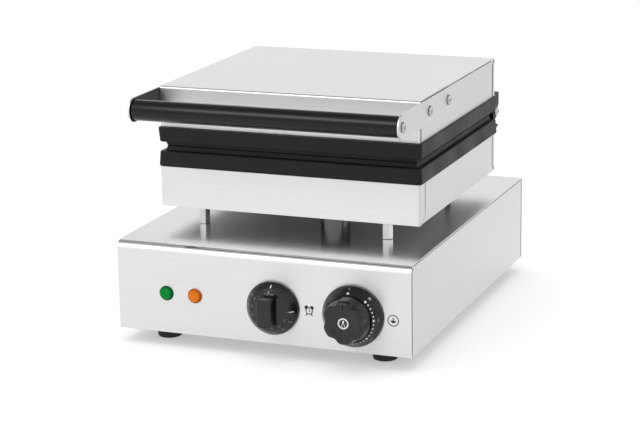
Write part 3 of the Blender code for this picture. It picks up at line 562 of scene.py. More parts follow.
# Deeper copies of the lens colours for the bevel and rim: the tint of the thicker moulding, and painted shade
greenTintAndShadeRim = tintedLens("greenPolycarbonateTintAndShadeRim", "006a2c", "005020")
orangeTintAndShadeRim = tintedLens("orangePolycarbonateTintAndShadeRim", "c9670f", "b05408")
zincFinish = zincPlated()
galvanisedFinish = galvanisedSheet()
panFinish = galvanisedSheet("panSheet", "f0f0f0", 0.55, 0.0)
nylonFinish = plainMoulding("nylonMoulding", "2a2a2c", 0.5)
whiteInk = printedInk("whiteInk", "f2f2f0")
blackInk = printedInk("blackInk", "141414")
fadedInk = printedInk("fadedInk", "8a8a8a")
slotFinish = {
    "brushed_stainless": sheetFinish, "polished_steel": barFinish, "galvanised_steel": galvanisedFinish,
    "zinc_plated_steel": zincFinish, "heater_sheath": oxidisedSheath(), "black_coated_cast": plateFinish,
    "black_rubber": rubberFinish, "black_phenolic": knobFinish, "dark_plastic": nylonFinish,
    "terminal_ceramic": plainMoulding("steatite", "d8d0c0", 0.55, 900.0), "green_lens": greenFinish,
    "orange_lens": orangeFinish,
}
for entry in frame["record"]["subparts"]:
    carried = nodes[entry["node"]]
    carried.data.materials.clear()
    carried.data.materials.append(slotFinish[entry["material_slot"]])
nodes["lower_pan"].data.materials[0] = panFinish
print("Finishes made")


# Geometry Nodes helpers

def newTree(name, inputs):
    # inputs: label -> default, whose type gives the socket's; the geometry sockets are added here
    kinds = {int: "NodeSocketInt", float: "NodeSocketFloat", tuple: "NodeSocketVector"}
    tree = bpy.data.node_groups.new(name, "GeometryNodeTree")
    tree.interface.new_socket("Geometry", in_out="INPUT", socket_type="NodeSocketGeometry")
    for label, value in inputs.items():
        socket = tree.interface.new_socket(label, in_out="INPUT", socket_type=kinds[type(value)])
        socket.default_value = value
    tree.interface.new_socket("Geometry", in_out="OUTPUT", socket_type="NodeSocketGeometry")
    return tree, addNode(tree, "NodeGroupInput").outputs


def closeTree(tree, geometry, material):
    real = addNode(tree, "GeometryNodeRealizeInstances", {"Geometry": geometry}).outputs["Geometry"]
    painted = addNode(tree, "GeometryNodeSetMaterial", {"Geometry": real, "Material": material})
    addNode(tree, "NodeGroupOutput", {"Geometry": painted.outputs["Geometry"]})
    return tree


def growTree(name, tree, values, material, start=None, angle=30):
    # Runs a tree on a start mesh, its inputs set by identifier, and keeps the result as plain mesh
    made = newObject(name, start or bpy.data.meshes.new(name))
    made.data.materials.append(material)
    step = made.modifiers.new(name, "NODES")
    step.node_group = tree
    for item in tree.interface.items_tree:
        if item.item_type == "SOCKET" and item.in_out == "INPUT" and item.name in values:
            step[item.identifier] = values[item.name]
    return settle(made, angle)


# Folded covers: front, top and rear are one sheet, the side walls fold down from the top

baseValues = named({
    "sheet": 0.0012, "frontBend": 0.0075, "rearBend": 0.002, "bendSteps": 20, "edge": 0.00025,
    "ease": 0.034, "droop": 0.0009, "fold": 0.0007, "foldDepth": 0.0010, "seam": 0.0018, "slitTurn": 74,
    "rearFlange": 0.0018, "rearCut": 0.0025,
    "shaftHole": 0.007, "lensHole": 0.0057, "tubeHole": 0.0148, "fittingHole": 0.0054,
    "glandHole": 0.008,
})
lidValues = named({
    "sheet": 0.001, "frontBend": 0.0024, "rearBend": 0.002, "bendSteps": 12, "edge": 0.0002,
    "ease": 0.012, "droop": 0.0002, "fold": 0.0008, "foldDepth": 0.00085, "seam": 0.0026,
    "slitHeight": 0.0158, "rearFlange": 0.0062, "rearCut": 0.0085, "fittingHole": 0.0054,
})


def foldedOutline(low, high, inset, v):
    # Section of the cover, or inset of its inside. The top droops a little as it nears the front bend.
    front, rear, top = low.y + inset, high.y - inset, high.z - inset
    frontBend, rearBend = v.frontBend - inset, max(v.rearBend - inset, v.edge)
    start, flat = front + frontBend, front + frontBend + v.ease
    bend = arc((start, top - frontBend), frontBend, 180, 90, v.bendSteps)
    bend += [(start + v.ease * i / 10, top) for i in range(1, 11)]
    bend = [(y, z - v.droop * min(1.0, (flat - y) / v.ease) ** 2) for y, z in bend]
    bend += arc((rear - rearBend, top - rearBend), rearBend, 90, 0, v.bendSteps)
    return [(front, low.z - inset), *bend, (rear, low.z - inset)]


def slitBand(low, high, v, top):
    # Section of the slit behind the front sheet, and along its bend where the slit reaches that high
    near, foot = low.y + v.sheet, low.z - v.sheet
    centre = (low.y + v.frontBend, high.z - v.frontBend - v.droop)
    if top < centre[1]:
        return [(near, foot), (near, top), (near + v.seam, top), (near + v.seam, foot)]
    end, radius = 180 - v.slitTurn, v.frontBend - v.sheet
    band = arc(centre, radius, 180, end, 12) + arc(centre, radius - v.seam, end, 180, 12)
    return [(near, foot), *band, (near + v.seam, foot)]


def paintCover(cover, high, v):
    # The top is brighter than the walls, and the fold line under it is painted with a dark steel as painted
    # shade
    cover.data.materials.append(topFinish)
    cover.data.materials.append(paintedShadeFinish)
    foldTop = high.z - v.sheet
    for face in cover.data.polygons:
        place = face.center
        if face.normal.z > 0.5 and place.z > high.z - v.frontBend:
            face.material_index = 1
        level = foldTop - v.fold - 0.0001 < place.z < foldTop + 0.0001
        if level and high.x - v.sheet < abs(place.x) < high.x - v.edge / 4:
            face.material_index = 2


def foldedCover(name, node, body, v, slitTop, holes):
    low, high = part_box(node)
    sheet = v.sheet
    cover = meshObject(name, prism(foldedOutline(low, high, 0, v), low.x, high.x, "x"), sheetFinish)
    hollow = prism(foldedOutline(low, high, sheet, v), low.x + sheet, high.x - sheet, "x")
    # The side walls end at a slit behind the front sheet, which follows the bend, and at the seam of the
    # flange that the rear sheet folds round the corner. A fold line runs under the top.
    slits = bmesh.new()
    seamY, foldTop = high.y - v.rearFlange, high.z - sheet
    rearSeam = strip([
        (seamY, low.z - sheet), (seamY, high.z - v.rearCut), (high.y - sheet, high.z - 1.5 * sheet),
    ], -v.seam)
    for side in (-1, 1):
        face = side * high.x
        wall = side * (high.x - sheet / 2)
        for section in (slitBand(low, high, v, slitTop), rearSeam):
            prism(section, wall - sheet, wall + sheet, "x", slits)
        inner, outer = sorted((face - side * v.foldDepth, face + side * sheet))
        boxBody(inner, outer, low.y + v.frontBend, seamY - 2 * v.seam, foldTop - v.fold, foldTop, slits)
    cover = soften(carve(cover, hollow, slits, *holes), v.edge)
    paintCover(cover, high, v)
    dress(cover, body, "brushed_stainless", node)


low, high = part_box("base_shell")
foldedCover("baseShell", "base_shell", "base", baseValues, high.z, [
    drill(baseValues.shaftHole, "timer_shaft", "y", low.y, 32),
    drill(baseValues.shaftHole, "thermostat_shaft", "y", low.y, 32),
    drill(baseValues.lensHole, "green_lens", "y", low.y, 32),
    drill(baseValues.lensHole, "orange_lens", "y", low.y, 32),
    drill(baseValues.tubeHole, "wiring_tube", "z", high.z, 40),
    drill(baseValues.fittingHole, "conduit_fitting_base", "z", high.z, 40),
    drill(baseValues.glandHole, "cord_gland", "y", high.y, 32),
])
print("Base shell made")

low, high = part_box("lid_cover")
foldedCover("lidCover", "lid_cover", "lid", lidValues, low.z + lidValues.slitHeight, [
    drill(lidValues.fittingHole, "conduit_fitting_lid", "y", high.y, 32),
])
print("Lid cover made")


# Lower housing: a front sheet with short returns, and a tub of side and rear walls behind it

housingValues = named({
    "sheet": 0.001, "bend": 0.0016, "bendSteps": 8, "edge": 0.0002, "returnWidth": 0.0148,
    "flange": 0.009, "gap": 0.0001, "seam": 0.0022, "frontSeam": 0.0047, "rearFlange": 0.0068,
    "rearCut": 0.0075,
    # foot of the front return, as shares of its width and of the height
    "chamfer": ((0.16, 0.0), (0.5, 0.04), (1.0, 0.24)),
})


def lowerHousing(v):
    low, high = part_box("lower_housing")
    sheet, half, back = v.sheet, high.x, low.y + v.returnWidth
    turns = [((v.bend - half, low.y + v.bend), 180), ((half - v.bend, low.y + v.bend), 270)]
    outline = [(-half, back)]
    for centre, start in turns:
        outline += arc(centre, v.bend, start, start + 90, v.bendSteps)
    outline += [(half, back), (half - sheet, back)]
    for centre, start in reversed(turns):
        outline += arc(centre, v.bend - sheet, start + 90, start, v.bendSteps)
    outline.append((sheet - half, back))
    front = meshObject("housingFront", prism(outline, low.z, high.z, "z"), sheetFinish)
    slope = [(low.y + a * v.returnWidth, low.z + b * (high.z - low.z)) for a, b in v.chamfer]
    below = [(back + sheet, slope[-1][1]), (back + sheet, low.z - sheet), (slope[0][0], low.z - sheet)]
    ends = prism(slope + below, half - 1.5 * sheet, half + sheet, "x")
    prism(slope + below, -half - sheet, 1.5 * sheet - half, "x", ends)
    front = soften(carve(front, ends), v.edge)
    side = half - sheet - v.gap
    inner = side - sheet
    tub = boxBody(-side, side, low.y + sheet + v.gap, high.y, low.z, high.z)
    tub = meshObject("housingTub", tub, sheetFinish)
    room = boxBody(-inner, inner, low.y + 2 * sheet, high.y - sheet, low.z + sheet, high.z - sheet)
    windows = bmesh.new()
    wide, near, far = inner - v.flange, low.y + v.flange, high.y - v.flange
    for foot, top in ((low.z - sheet, low.z + 2 * sheet), (high.z - 2 * sheet, high.z + sheet)):
        boxBody(-wide, wide, near, far, foot, top, windows)
    # Open seams in the side walls, behind the front return and before the flange of the rear sheet
    seams = bmesh.new()
    frontSeam = strip(slope + [(back, high.z - 2 * sheet)], v.frontSeam)
    seamY = high.y - v.rearFlange
    rearSeam = strip(
        [(seamY, high.z - 2 * sheet), (seamY, low.z + v.rearCut), (high.y - sheet, low.z + sheet)], -v.seam,
    )
    for turn in (-1, 1):
        middle = turn * (side - sheet / 2)
        for outline in (frontSeam, rearSeam):
            prism(outline, middle - sheet, middle + sheet, "x", seams)
    return joined("lowerHousing", [front, soften(carve(tub, room, windows, seams), v.edge)])


dress(lowerHousing(housingValues), "base", "brushed_stainless", "lower_housing")
print("Lower housing made")


# Cast plates, with the pegs of each cavity laid out by Geometry Nodes

plateValues = named({
    "half": 0.1368, "front": -0.1053, "rear": 0.1427, "parting": 0.1804, "height": 0.0195,
    "corner": 0.004, "draft": 0.0009, "land": 0.0062, "gap": 0.0092, "clear": 0.00015, "wall": 0.006,
    "cavityHalf": (0.0255, 0.098), "cavityMiddle": 0.0274, "cavityPitch": 0.061705, "cavities": 4,
    "cavityDepth": 0.011, "cavityCorner": 0.003, "web": 0.004, "stickRadius": 0.003, "stickReach": 0.002,
    "pegHeight": 0.008, "pegSink": 0.001, "pegRows": 9, "pegColumns": 2, "pegFoot": 0.74, "pegTip": 0.44,
    "pegEdge": 0.0006, "studRadius": 0.0028, "bossRadius": 0.0065, "edge": 0.0005, "hingeY": 0.1565,
    "pinRadius": 0.0033, "lugRadius": 0.0085, "lugReach": 0.013, "lugWidth": 0.012, "lugGap": 0.0003,
    "lugOuter": 0.13005, "opening": 100, "stopGap": 0.0006,
})


def plateRing(v, inset, z, radius):
    outline = roundedBox(inset - v.half, v.half - inset, v.front + inset, v.rear - inset, radius)
    return [(x, y, z) for x, y in outline]


def cavityPlaces(v):
    return [(i - (v.cavities - 1) / 2) * v.cavityPitch for i in range(v.cavities)]


def lugs(outline, inner, width):
    body = prism(outline, inner, inner + width, "x")
    return prism(outline, -inner - width, -inner, "x", body)


def lowerLugs(v, root, lowerStart, upperStart):
    # Lugs round the bolts, and the stops behind them on which the opened lid comes to rest
    hinge, bottom = (v.hingeY, v.parting), v.parting - v.height + v.draft
    turn, end = math.radians(v.opening), v.hingeY + 1.3 * v.lugRadius

    def stopHeight(y):
        return v.parting - (v.lugReach + v.stopGap - (y - v.hingeY) * math.cos(turn)) / math.sin(turn)

    lug = [(root, v.parting - v.gap / 2 - v.draft), (root, bottom), (v.hingeY - v.lugRadius / 2, bottom)]
    lug += arc(hinge, v.lugRadius, -40, 180, 28)
    rest = [(root, stopHeight(root)), (root, bottom)]
    rest += [(v.hingeY + 0.8 * v.lugRadius, bottom), (end, stopHeight(end))]
    return [lugs(lug, lowerStart, v.lugWidth), lugs(rest, upperStart, v.lugWidth)]


def upperLugs(v, root, upperStart):
    top, end = v.parting + v.height - v.draft, v.hingeY + v.lugReach
    foot = v.parting + v.gap / 2 + v.draft
    lug = [(root, foot), (root, top), (end, top), (end, foot + v.draft)]
    lug += arc((v.hingeY, v.parting), v.lugRadius, 0, -180, 24)
    return [lugs(lug, upperStart, v.lugWidth)]


def castPlate(name, up, v):
    # up is 1 for the plate in the lid, -1 for the one on the base
    def z(distance):
        return v.parting + up * distance

    draft, corner, skirt, under = v.draft, v.corner, v.gap / 2, v.cavityDepth + v.web
    plate = meshObject(name, loft([
        plateRing(v, draft / 2, z(v.height), corner),
        plateRing(v, 0, z(v.height - draft), corner),
        plateRing(v, draft, z(skirt + draft), corner),
        plateRing(v, 2 * draft, z(skirt), corner - draft),
        plateRing(v, v.land, z(skirt - draft / 2), draft),
        plateRing(v, v.land + draft, z(v.clear), draft),
    ]), plateFinish)
    cut = loft([
        plateRing(v, v.wall, z(v.height + draft), corner), plateRing(v, v.wall + draft, z(under), corner),
    ])
    channels = bmesh.new()
    halfX, halfY = v.cavityHalf
    slope = 2 * draft
    for x in cavityPlaces(v):
        rings = []
        for inset, distance in ((slope, v.cavityDepth), (0, v.clear), (-draft / 4, -draft)):
            wide, long = halfX - inset, halfY - inset
            outline = roundedBox(
                x - wide, x + wide, v.cavityMiddle - long, v.cavityMiddle + long, v.cavityCorner - inset, 8
            )
            rings.append([(x, y, z(distance)) for x, y in outline])
        loft(rings, body=cut)
        start, end = v.front + v.land + 2 * v.wall / 3, v.cavityMiddle - halfY + slope + v.stickReach
        prism(circle((x, v.parting), v.stickRadius, 20), start, end, "y", channels)
    plate = carve(plate, cut, channels)
    root, upperStart = v.rear - v.wall / 2, v.lugOuter - v.lugWidth
    lowerStart = upperStart - v.lugWidth - v.lugGap
    bores = bmesh.new()
    for side in (-1, 1):
        ends = (side * (lowerStart - past), side * (v.lugOuter + past))
        rod(v.pinRadius, *ends, (v.hingeY, v.parting), "x", 24, bores)
    if up > 0:
        added = upperLugs(v, root, upperStart)
    else:
        added = lowerLugs(v, root, lowerStart, upperStart)
        bosses = bmesh.new()
        for post in corners:
            centre = centreOf(f"post_{post}", "z")
            rod(v.bossRadius, z(v.height) + draft, z(under) + draft, centre, "z", 32, bosses)
            rod(v.studRadius, z(v.height + past), z(under), centre, "z", 24, bores)
        added.append(bosses)
    plate = carve(carve(plate, *added, operation="UNION"), bores)
    return soften(plate, v.edge, 35)


def pegTree():
    # A grid of tapered pegs for each cavity, the cavities side by side
    tree, given = newTree("platePegs", {
        "Cavities": 4, "Cavity Pitch": 0.06, "Rows": 9, "Columns": 2, "Row Pitch": 0.02, "Column Pitch": 0.02,
        "Peg Height": 0.008, "Foot": 0.7, "Tip": 0.4, "Place": (0, 0, 0), "Up": 1.0,
    })
    wide = addNode(tree, "ShaderNodeMath", {
        0: given["Column Pitch"],
        1: addNode(tree, "ShaderNodeMath", {0: given["Columns"], 1: 1.0}, operation="SUBTRACT").outputs[0],
    }, operation="MULTIPLY").outputs[0]
    long = addNode(tree, "ShaderNodeMath", {
        0: given["Row Pitch"],
        1: addNode(tree, "ShaderNodeMath", {0: given["Rows"], 1: 1.0}, operation="SUBTRACT").outputs[0],
    }, operation="MULTIPLY").outputs[0]
    grid = addNode(tree, "GeometryNodeMeshGrid", {
        "Size X": wide, "Size Y": long, "Vertices X": given["Columns"], "Vertices Y": given["Rows"],
    })
    # A four-sided cone of unit half width, turned so that its sides face along X and Y
    root = math.sqrt(2)
    cone = addNode(tree, "GeometryNodeMeshCone", {
        "Vertices": 4,
        "Radius Top": addNode(tree, "ShaderNodeMath", {
            0: given["Tip"], 1: root / 2,
        }, operation="MULTIPLY").outputs[0],
        "Radius Bottom": addNode(tree, "ShaderNodeMath", {
            0: given["Foot"], 1: root / 2,
        }, operation="MULTIPLY").outputs[0],
        "Depth": given["Peg Height"],
    })
    size = addNode(tree, "ShaderNodeCombineXYZ", {
        "X": given["Column Pitch"], "Y": given["Row Pitch"], "Z": given["Up"],
    }).outputs["Vector"]
    turn = (0, 0, math.radians(45))
    peg = addNode(tree, "GeometryNodeTransform", {"Geometry": cone.outputs["Mesh"], "Rotation": turn})
    peg = addNode(tree, "GeometryNodeTransform", {"Geometry": peg.outputs["Geometry"], "Scale": size})
    block = addNode(tree, "GeometryNodeInstanceOnPoints", {
        "Points": grid.outputs["Mesh"], "Instance": peg.outputs["Geometry"],
    }).outputs["Instances"]
    line = addNode(tree, "GeometryNodeMeshLine", {
        "Count": given["Cavities"], "Start Location": given["Place"],
        "Offset": addNode(tree, "ShaderNodeCombineXYZ", {"X": given["Cavity Pitch"]}).outputs["Vector"],
    })
    rows = addNode(tree, "GeometryNodeInstanceOnPoints", {
        "Points": line.outputs["Mesh"], "Instance": block,
    }).outputs["Instances"]
    return closeTree(tree, rows, plateFinish)


def platePegs(name, up, v, tree):
    slope, tall = 4 * v.draft, v.pegHeight + v.pegSink
    floorZ = v.parting + up * (v.cavityDepth + v.pegSink - tall / 2)
    made = growTree(name, tree, {
        "Cavities": v.cavities, "Cavity Pitch": v.cavityPitch, "Rows": v.pegRows, "Columns": v.pegColumns,
        "Row Pitch": (2 * v.cavityHalf[1] - slope) / v.pegRows,
        "Column Pitch": (2 * v.cavityHalf[0] - slope) / v.pegColumns,
        "Peg Height": tall, "Foot": v.pegFoot, "Tip": v.pegTip,
        "Place": (cavityPlaces(v)[0], v.cavityMiddle, floorZ), "Up": -float(up),
    }, plateFinish)
    body = bmesh.new()
    body.from_mesh(made.data)
    bpy.data.objects.remove(made)
    return soften(meshObject(name, body, plateFinish), v.pegEdge)


pegs = pegTree()
for node, up, body in (("lower_plate", -1, "base"), ("upper_plate", 1, "lid")):
    dress(castPlate(camel(node), up, plateValues), body, "black_coated_cast", node, f"{node}_bed")
    dress(platePegs(camel(node) + "Pegs", up, plateValues, pegs), body, "black_coated_cast")
print("Cast plates made")


# Handle: a black tube between two brackets, held by domed screws

handleValues = named({
    "radius": 0.0102, "bore": 0.0052, "endRound": 0.0009, "edge": 0.0003, "screwHole": 0.0023,
})
screwKinds = ("handle_screw", "bracket_screw_front", "bracket_screw_rear")


def handleGrip(v):
    low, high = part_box("handle_grip")
    turn = v.endRound
    profile = [
        (v.bore, low.x), *arc((v.radius - turn, low.x + turn), turn, 270, 360, 6),
        *arc((v.radius - turn, high.x - turn), turn, 0, 90, 6), (v.bore, high.x),
    ]
    return turned("handleGrip", profile, centreOf("handle_grip", "x"), "x", 96, gripFinish, 40)


def handleBracket(side, sign, v):
    low, high, middle = span(f"handle_bracket_{side}")
    end = (high.z - low.z) / 2
    outline = arc((low.y + end, middle.z), end, 90, 270, 32) + arc((high.y - end, middle.z), end, -90, 90, 32)
    bracket = meshObject(f"handleBracket{side.title()}", prism(outline, low.x, high.x, "x"), sheetFinish)
    bores = bmesh.new()
    for kind in screwKinds:
        rod(v.screwHole, low.x - past, high.x + past, centreOf(f"{kind}_{side}", "x"), "x", 24, bores)
    bracket = soften(carve(bracket, bores), v.edge)
    # The face towards the grip is painted a dark steel, as painted shade
    bracket.data.materials.append(paintedShadeFinish)
    for face in bracket.data.polygons:
        if sign * face.normal.x < -0.9:
            face.material_index = 1
    return bracket


dress(handleGrip(handleValues), "lid", "black_phenolic", "handle_grip")
for side, sign in sides:
    dress(handleBracket(side, sign, handleValues), "lid", "brushed_stainless", f"handle_bracket_{side}")
print("Handle made")


# Domed screws, laid out by Geometry Nodes on points that carry their own turn

screwValues = named({"radius": 0.0051, "height": 0.0027, "rim": 0.0004, "shank": 0.002})


def screwTree():
    # A ball squeezed to a dome above its middle, where a low rim lifts it
    tree, given = newTree("domedScrews", {"Head Radius": 0.005, "Head Height": 0.0025, "Rim": 0.0004})
    ball = addNode(tree, "GeometryNodeMeshUVSphere", {
        "Segments": 40, "Rings": 24, "Radius": given["Head Radius"],
    })
    place = addNode(tree, "ShaderNodeSeparateXYZ", {
        "Vector": addNode(tree, "GeometryNodeInputPosition").outputs["Position"],
    }).outputs
    dome = addNode(tree, "ShaderNodeMath", {
        0: given["Head Height"], 1: given["Rim"],
    }, operation="SUBTRACT").outputs[0]
    share = addNode(tree, "ShaderNodeMath", {
        0: dome, 1: given["Head Radius"],
    }, operation="DIVIDE").outputs[0]
    raised = addNode(tree, "ShaderNodeMath", {
        0: addNode(tree, "ShaderNodeMath", {0: place["Z"], 1: 0.0}, operation="MAXIMUM").outputs[0],
        1: share,
    }, operation="MULTIPLY").outputs[0]
    above = addNode(tree, "ShaderNodeMath", {
        0: place["Z"], 1: -0.00001,
    }, operation="GREATER_THAN").outputs[0]
    lifted = addNode(tree, "ShaderNodeMath", {
        0: raised,
        1: addNode(tree, "ShaderNodeMath", {0: above, 1: given["Rim"]}, operation="MULTIPLY").outputs[0],
    }, operation="ADD").outputs[0]
    head = addNode(tree, "GeometryNodeSetPosition", {
        "Geometry": ball.outputs["Mesh"],
        "Position": addNode(tree, "ShaderNodeCombineXYZ", {
            "X": place["X"], "Y": place["Y"], "Z": lifted,
        }).outputs["Vector"],
    }).outputs["Geometry"]
    turn = addNode(tree, "GeometryNodeInputNamedAttribute", {"Name": "turn"}, data_type="FLOAT_VECTOR")
    spin = addNode(tree, "FunctionNodeEulerToRotation", {"Euler": turn.outputs["Attribute"]})
    laid = addNode(tree, "GeometryNodeInstanceOnPoints", {
        "Points": given["Geometry"], "Instance": head, "Rotation": spin.outputs["Rotation"],
    }).outputs["Instances"]
    return closeTree(tree, laid, screwFinish)


def pointMesh(name, places, turns):
    mesh = bpy.data.meshes.new(name)
    mesh.from_pydata(places, [], [])
    turn = mesh.attributes.new("turn", "FLOAT_VECTOR", "POINT")
    turn.data.foreach_set("vector", [value for item in turns for value in item])
    return mesh


def lidScrews(v):
    # The heads and shanks of all six, and the nodes that they stand for
    places, turns, replaced = [], [], []
    shanks = bmesh.new()
    for side, sign in sides:
        for node in (f"{kind}_{side}" for kind in screwKinds):
            low, high, middle = span(node)
            outer, inner = (high.x, low.x) if sign > 0 else (low.x, high.x)
            seat = outer - sign * v.height
            places.append((seat, middle.y, middle.z))
            turns.append((0, math.radians(90 * sign), 0))
            rod(v.shank, seat, inner, (middle.y, middle.z), "x", 20, shanks)
            replaced.append(node)
    heads = growTree("lidScrewHeads", screwTree(), {
        "Head Radius": v.radius, "Head Height": v.height, "Rim": v.rim,
    }, screwFinish, pointMesh("lidScrewHeads", places, turns), 50)
    shanks = settle(meshObject("lidScrewShanks", shanks, screwFinish), 40)
    return joined("lidScrews", [heads, shanks]), replaced


screws, replaced = lidScrews(screwValues)
dress(screws, "lid", "polished_steel", *replaced)
print("Screws made")


# Feet: tapered rubber with a rounded toe and a recess for the screw

footValues = named({
    "radius": 0.0135, "toe": 0.0118, "toeRound": 0.0012, "recess": 0.006, "recessDepth": 0.0063,
    "bore": 0.0023,
    # the upper rim: how far inside the radius, and how far below the top
    "rim": ((0.0004, 0.0012), (0.0, 0.0008), (0.0, 0.0002), (0.0002, 0.0)),
})


def rubberFoot(name, v):
    low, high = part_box(f"foot_{name}")
    turn, roof = v.toeRound, low.z + v.recessDepth
    profile = [
        (v.recess, low.z), *arc((v.toe - turn, low.z + turn), turn, 270, 355, 6),
        *((v.radius - inset, high.z - depth) for inset, depth in v.rim),
        (v.bore, high.z), (v.bore, roof), (v.recess, roof),
    ]
    centre = centreOf(f"foot_{name}", "z")
    return turned(camel("foot", name, "rubber"), profile, centre, "z", 56, rubberFinish, 35)


for name in corners:
    dress(rubberFoot(name, footValues), "base", "black_rubber", f"foot_{name}")
print("Feet made")


# Posts and the wiring tube under the housing

postValues = named({"edge": 0.00035, "tubeWall": 0.0012, "tubeEdge": 0.0003})


def wiringTube(v):
    low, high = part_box("wiring_tube")
    radius, turn = (high.x - low.x) / 2, v.tubeEdge
    profile = [
        (radius - turn, low.z), (radius, low.z + turn), (radius, high.z - turn), (radius - turn, high.z),
        (radius - v.tubeWall, high.z), (radius - v.tubeWall, low.z),
    ]
    return turned("wiringTube", profile, centreOf("wiring_tube", "z"), "z", 96, tubeFinish, 40)


for name in corners:
    post = refined(camel("post", name, "bar"), f"post_{name}", barFinish, postValues.edge, 35)
    dress(post, "base", "polished_steel", f"post_{name}")
dress(wiringTube(postValues), "base", "polished_steel", "wiring_tube")
print("Posts made")


# Pilot lamps: a flat-faced lens with a wide bevel, its rim seated on the panel

lensValues = named({
    "radius": 0.0072, "face": 0.0055, "rim": 0.0012, "edge": 0.0003, "neck": 0.0054, "tip": 0.0004,
    "dish": 0.0001, "proud": 0.00324, "seat": 0.0004,
})


def pilotLens(colour, finish, rimTintAndShadeFinish, v):
    low, high, middle = span(f"{colour}_lens")
    panel = low.y + v.proud
    rim, seat = panel - v.rim, panel - v.seat
    profile = [
        (v.tip, low.y + v.dish), (0.6 * v.face, low.y + 0.4 * v.dish), (v.face - v.edge, low.y),
        (v.face, low.y + v.edge), (v.radius - v.edge, rim), (v.radius, rim + v.edge),
        (v.radius, seat), (v.neck, seat), (v.neck, high.y),
    ]
    lens = settle(meshObject(f"{colour}Lens", lathe(profile, (middle.x, middle.z), "y", 64), finish), 25)
    # The bevel and rim take the deeper copy: the tint of the thicker moulding, and painted shade
    lens.data.materials.append(rimTintAndShadeFinish)
    for face in lens.data.polygons:
        if math.hypot(face.center.x - middle.x, face.center.z - middle.z) > v.face:
            face.material_index = 1
    return lens


for colour, finish, rimTintAndShadeFinish in (("green", greenFinish, greenTintAndShadeRim), ("orange", orangeFinish, orangeTintAndShadeRim)):
    dress(pilotLens(colour, finish, rimTintAndShadeFinish, lensValues), "base", f"{colour}_lens", f"{colour}_lens")
print("Lenses made")


# Knobs: a conical skirt that carries the printed scale, and a moulded grip. Lengths are measured from the
# knob's axis and from its rear edge towards the front.

knobHeight = 0.04964  # of both axes above the counter
timerValues = named({
    "skirt": (
        (0.0252, 0.0), (0.0258, 0.0002), (0.026, 0.0006), (0.026, 0.0016), (0.0257, 0.0022),
        (0.0204, 0.0081), (0.0198, 0.0086), (0.019, 0.0088), (0.002, 0.009),
    ),
    # half width, half height and way to the front
    "bar": ((0.0079, 0.0149, 0.0040), (0.0076, 0.0146, 0.0110), (0.00715, 0.0139, 0.0220)),
    "barCorner": 0.0032, "edge": 0.0008, "shaft": 0.0034, "shaftDepth": 0.0135, "steps": 96,
})
thermostatValues = named({
    "skirt": (
        (0.0290, 0.0), (0.0296, 0.0002), (0.0298, 0.0006), (0.0298, 0.0016), (0.0295, 0.0023),
        (0.0234, 0.0111), (0.0231, 0.0115), (0.0228, 0.0114), (0.0227, 0.0098), (0.002, 0.0098),
    ),
    # radius, depth of the six finger hollows and way to the front
    "grip": (
        (0.0224, 0.0002, 0.0085), (0.0224, 0.0006, 0.0125), (0.0220, 0.0015, 0.0160),
        (0.0216, 0.0022, 0.0200), (0.0212, 0.0025, 0.0228), (0.0205, 0.0025, 0.0246),
        (0.0193, 0.0020, 0.0258), (0.0176, 0.0012, 0.0264), (0.0154, 0.0006, 0.0265),
        (0.0134, 0.0002, 0.0261), (0.0116, 0.0, 0.0253), (0.0104, 0.0, 0.0250), (0.0015, 0.0, 0.0250),
    ),
    # width, inner end, outer end and depth of the groove that points to the scale
    "pointer": (0.0007, 0.0122, 0.0192, 0.0012),
    "hollows": 6, "hollowHalf": 21, "shaft": 0.0034, "shaftDepth": 0.0162, "steps": 144,
})


def knobAxis(kind):
    return span(f"{kind}_shaft")[2].x, knobHeight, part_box(f"{kind}_knob")[1].y


def lobedOutline(radius, depth, v):
    points = []
    spacing = 360 / v.hollows
    for i in range(v.steps):
        turn = 360 * i / v.steps
        away = abs((turn + spacing / 2) % spacing - spacing / 2)
        drawn = math.cos(math.radians(90 * min(away / v.hollowHalf, 1))) ** 2
        length = radius - depth * drawn
        points.append((length * math.cos(math.radians(turn)), length * math.sin(math.radians(turn))))
    return points


def knobSkirt(kind, v):
    x, z, rear = knobAxis(kind)
    profile = [(radius, rear - depth) for radius, depth in v.skirt]
    return meshObject(f"{kind}Knob", lathe(profile, (x, z), "y", v.steps), knobFinish)


def boredKnob(knob, kind, v, angle):
    x, z, rear = knobAxis(kind)
    return settle(carve(knob, rod(v.shaft, rear + past, rear - v.shaftDepth, (x, z), "y", 32)), angle)


def timerKnob(v):
    x, z, rear = knobAxis("timer")
    rings = []
    for halfX, halfZ, way in v.bar:
        outline = roundedBox(x - halfX, x + halfX, z - halfZ, z + halfZ, v.barCorner, 8)
        rings.append([onAxis(*point, rear - way, "y") for point in outline])
    bar = soften(meshObject("bar", loft(rings), knobFinish), v.edge, 50, 4)
    return boredKnob(carve(knobSkirt("timer", v), bar, operation="UNION"), "timer", v, 28)


def thermostatKnob(v):
    x, z, rear = knobAxis("thermostat")
    rings = []
    for radius, depth, way in v.grip:
        outline = [(x + across, z + up) for across, up in lobedOutline(radius, depth, v)]
        rings.append([onAxis(*point, rear - way, "y") for point in outline])
    knob = carve(knobSkirt("thermostat", v), loft(rings), operation="UNION")
    wide, inner, outer, deep = v.pointer
    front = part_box("thermostat_knob")[0].y
    groove = boxBody(x - wide / 2, x + wide / 2, front - past, front + deep, z + inner, z + outer)
    return boredKnob(carve(knob, groove), "thermostat", v, 32)


dress(timerKnob(timerValues), "timer_dial", "black_phenolic", "timer_knob")
dress(thermostatKnob(thermostatValues), "thermostat_dial", "black_phenolic", "thermostat_knob")
print("Knobs made")


# Printed scales: dots and strokes laid round the skirts by Geometry Nodes, and plain numbers

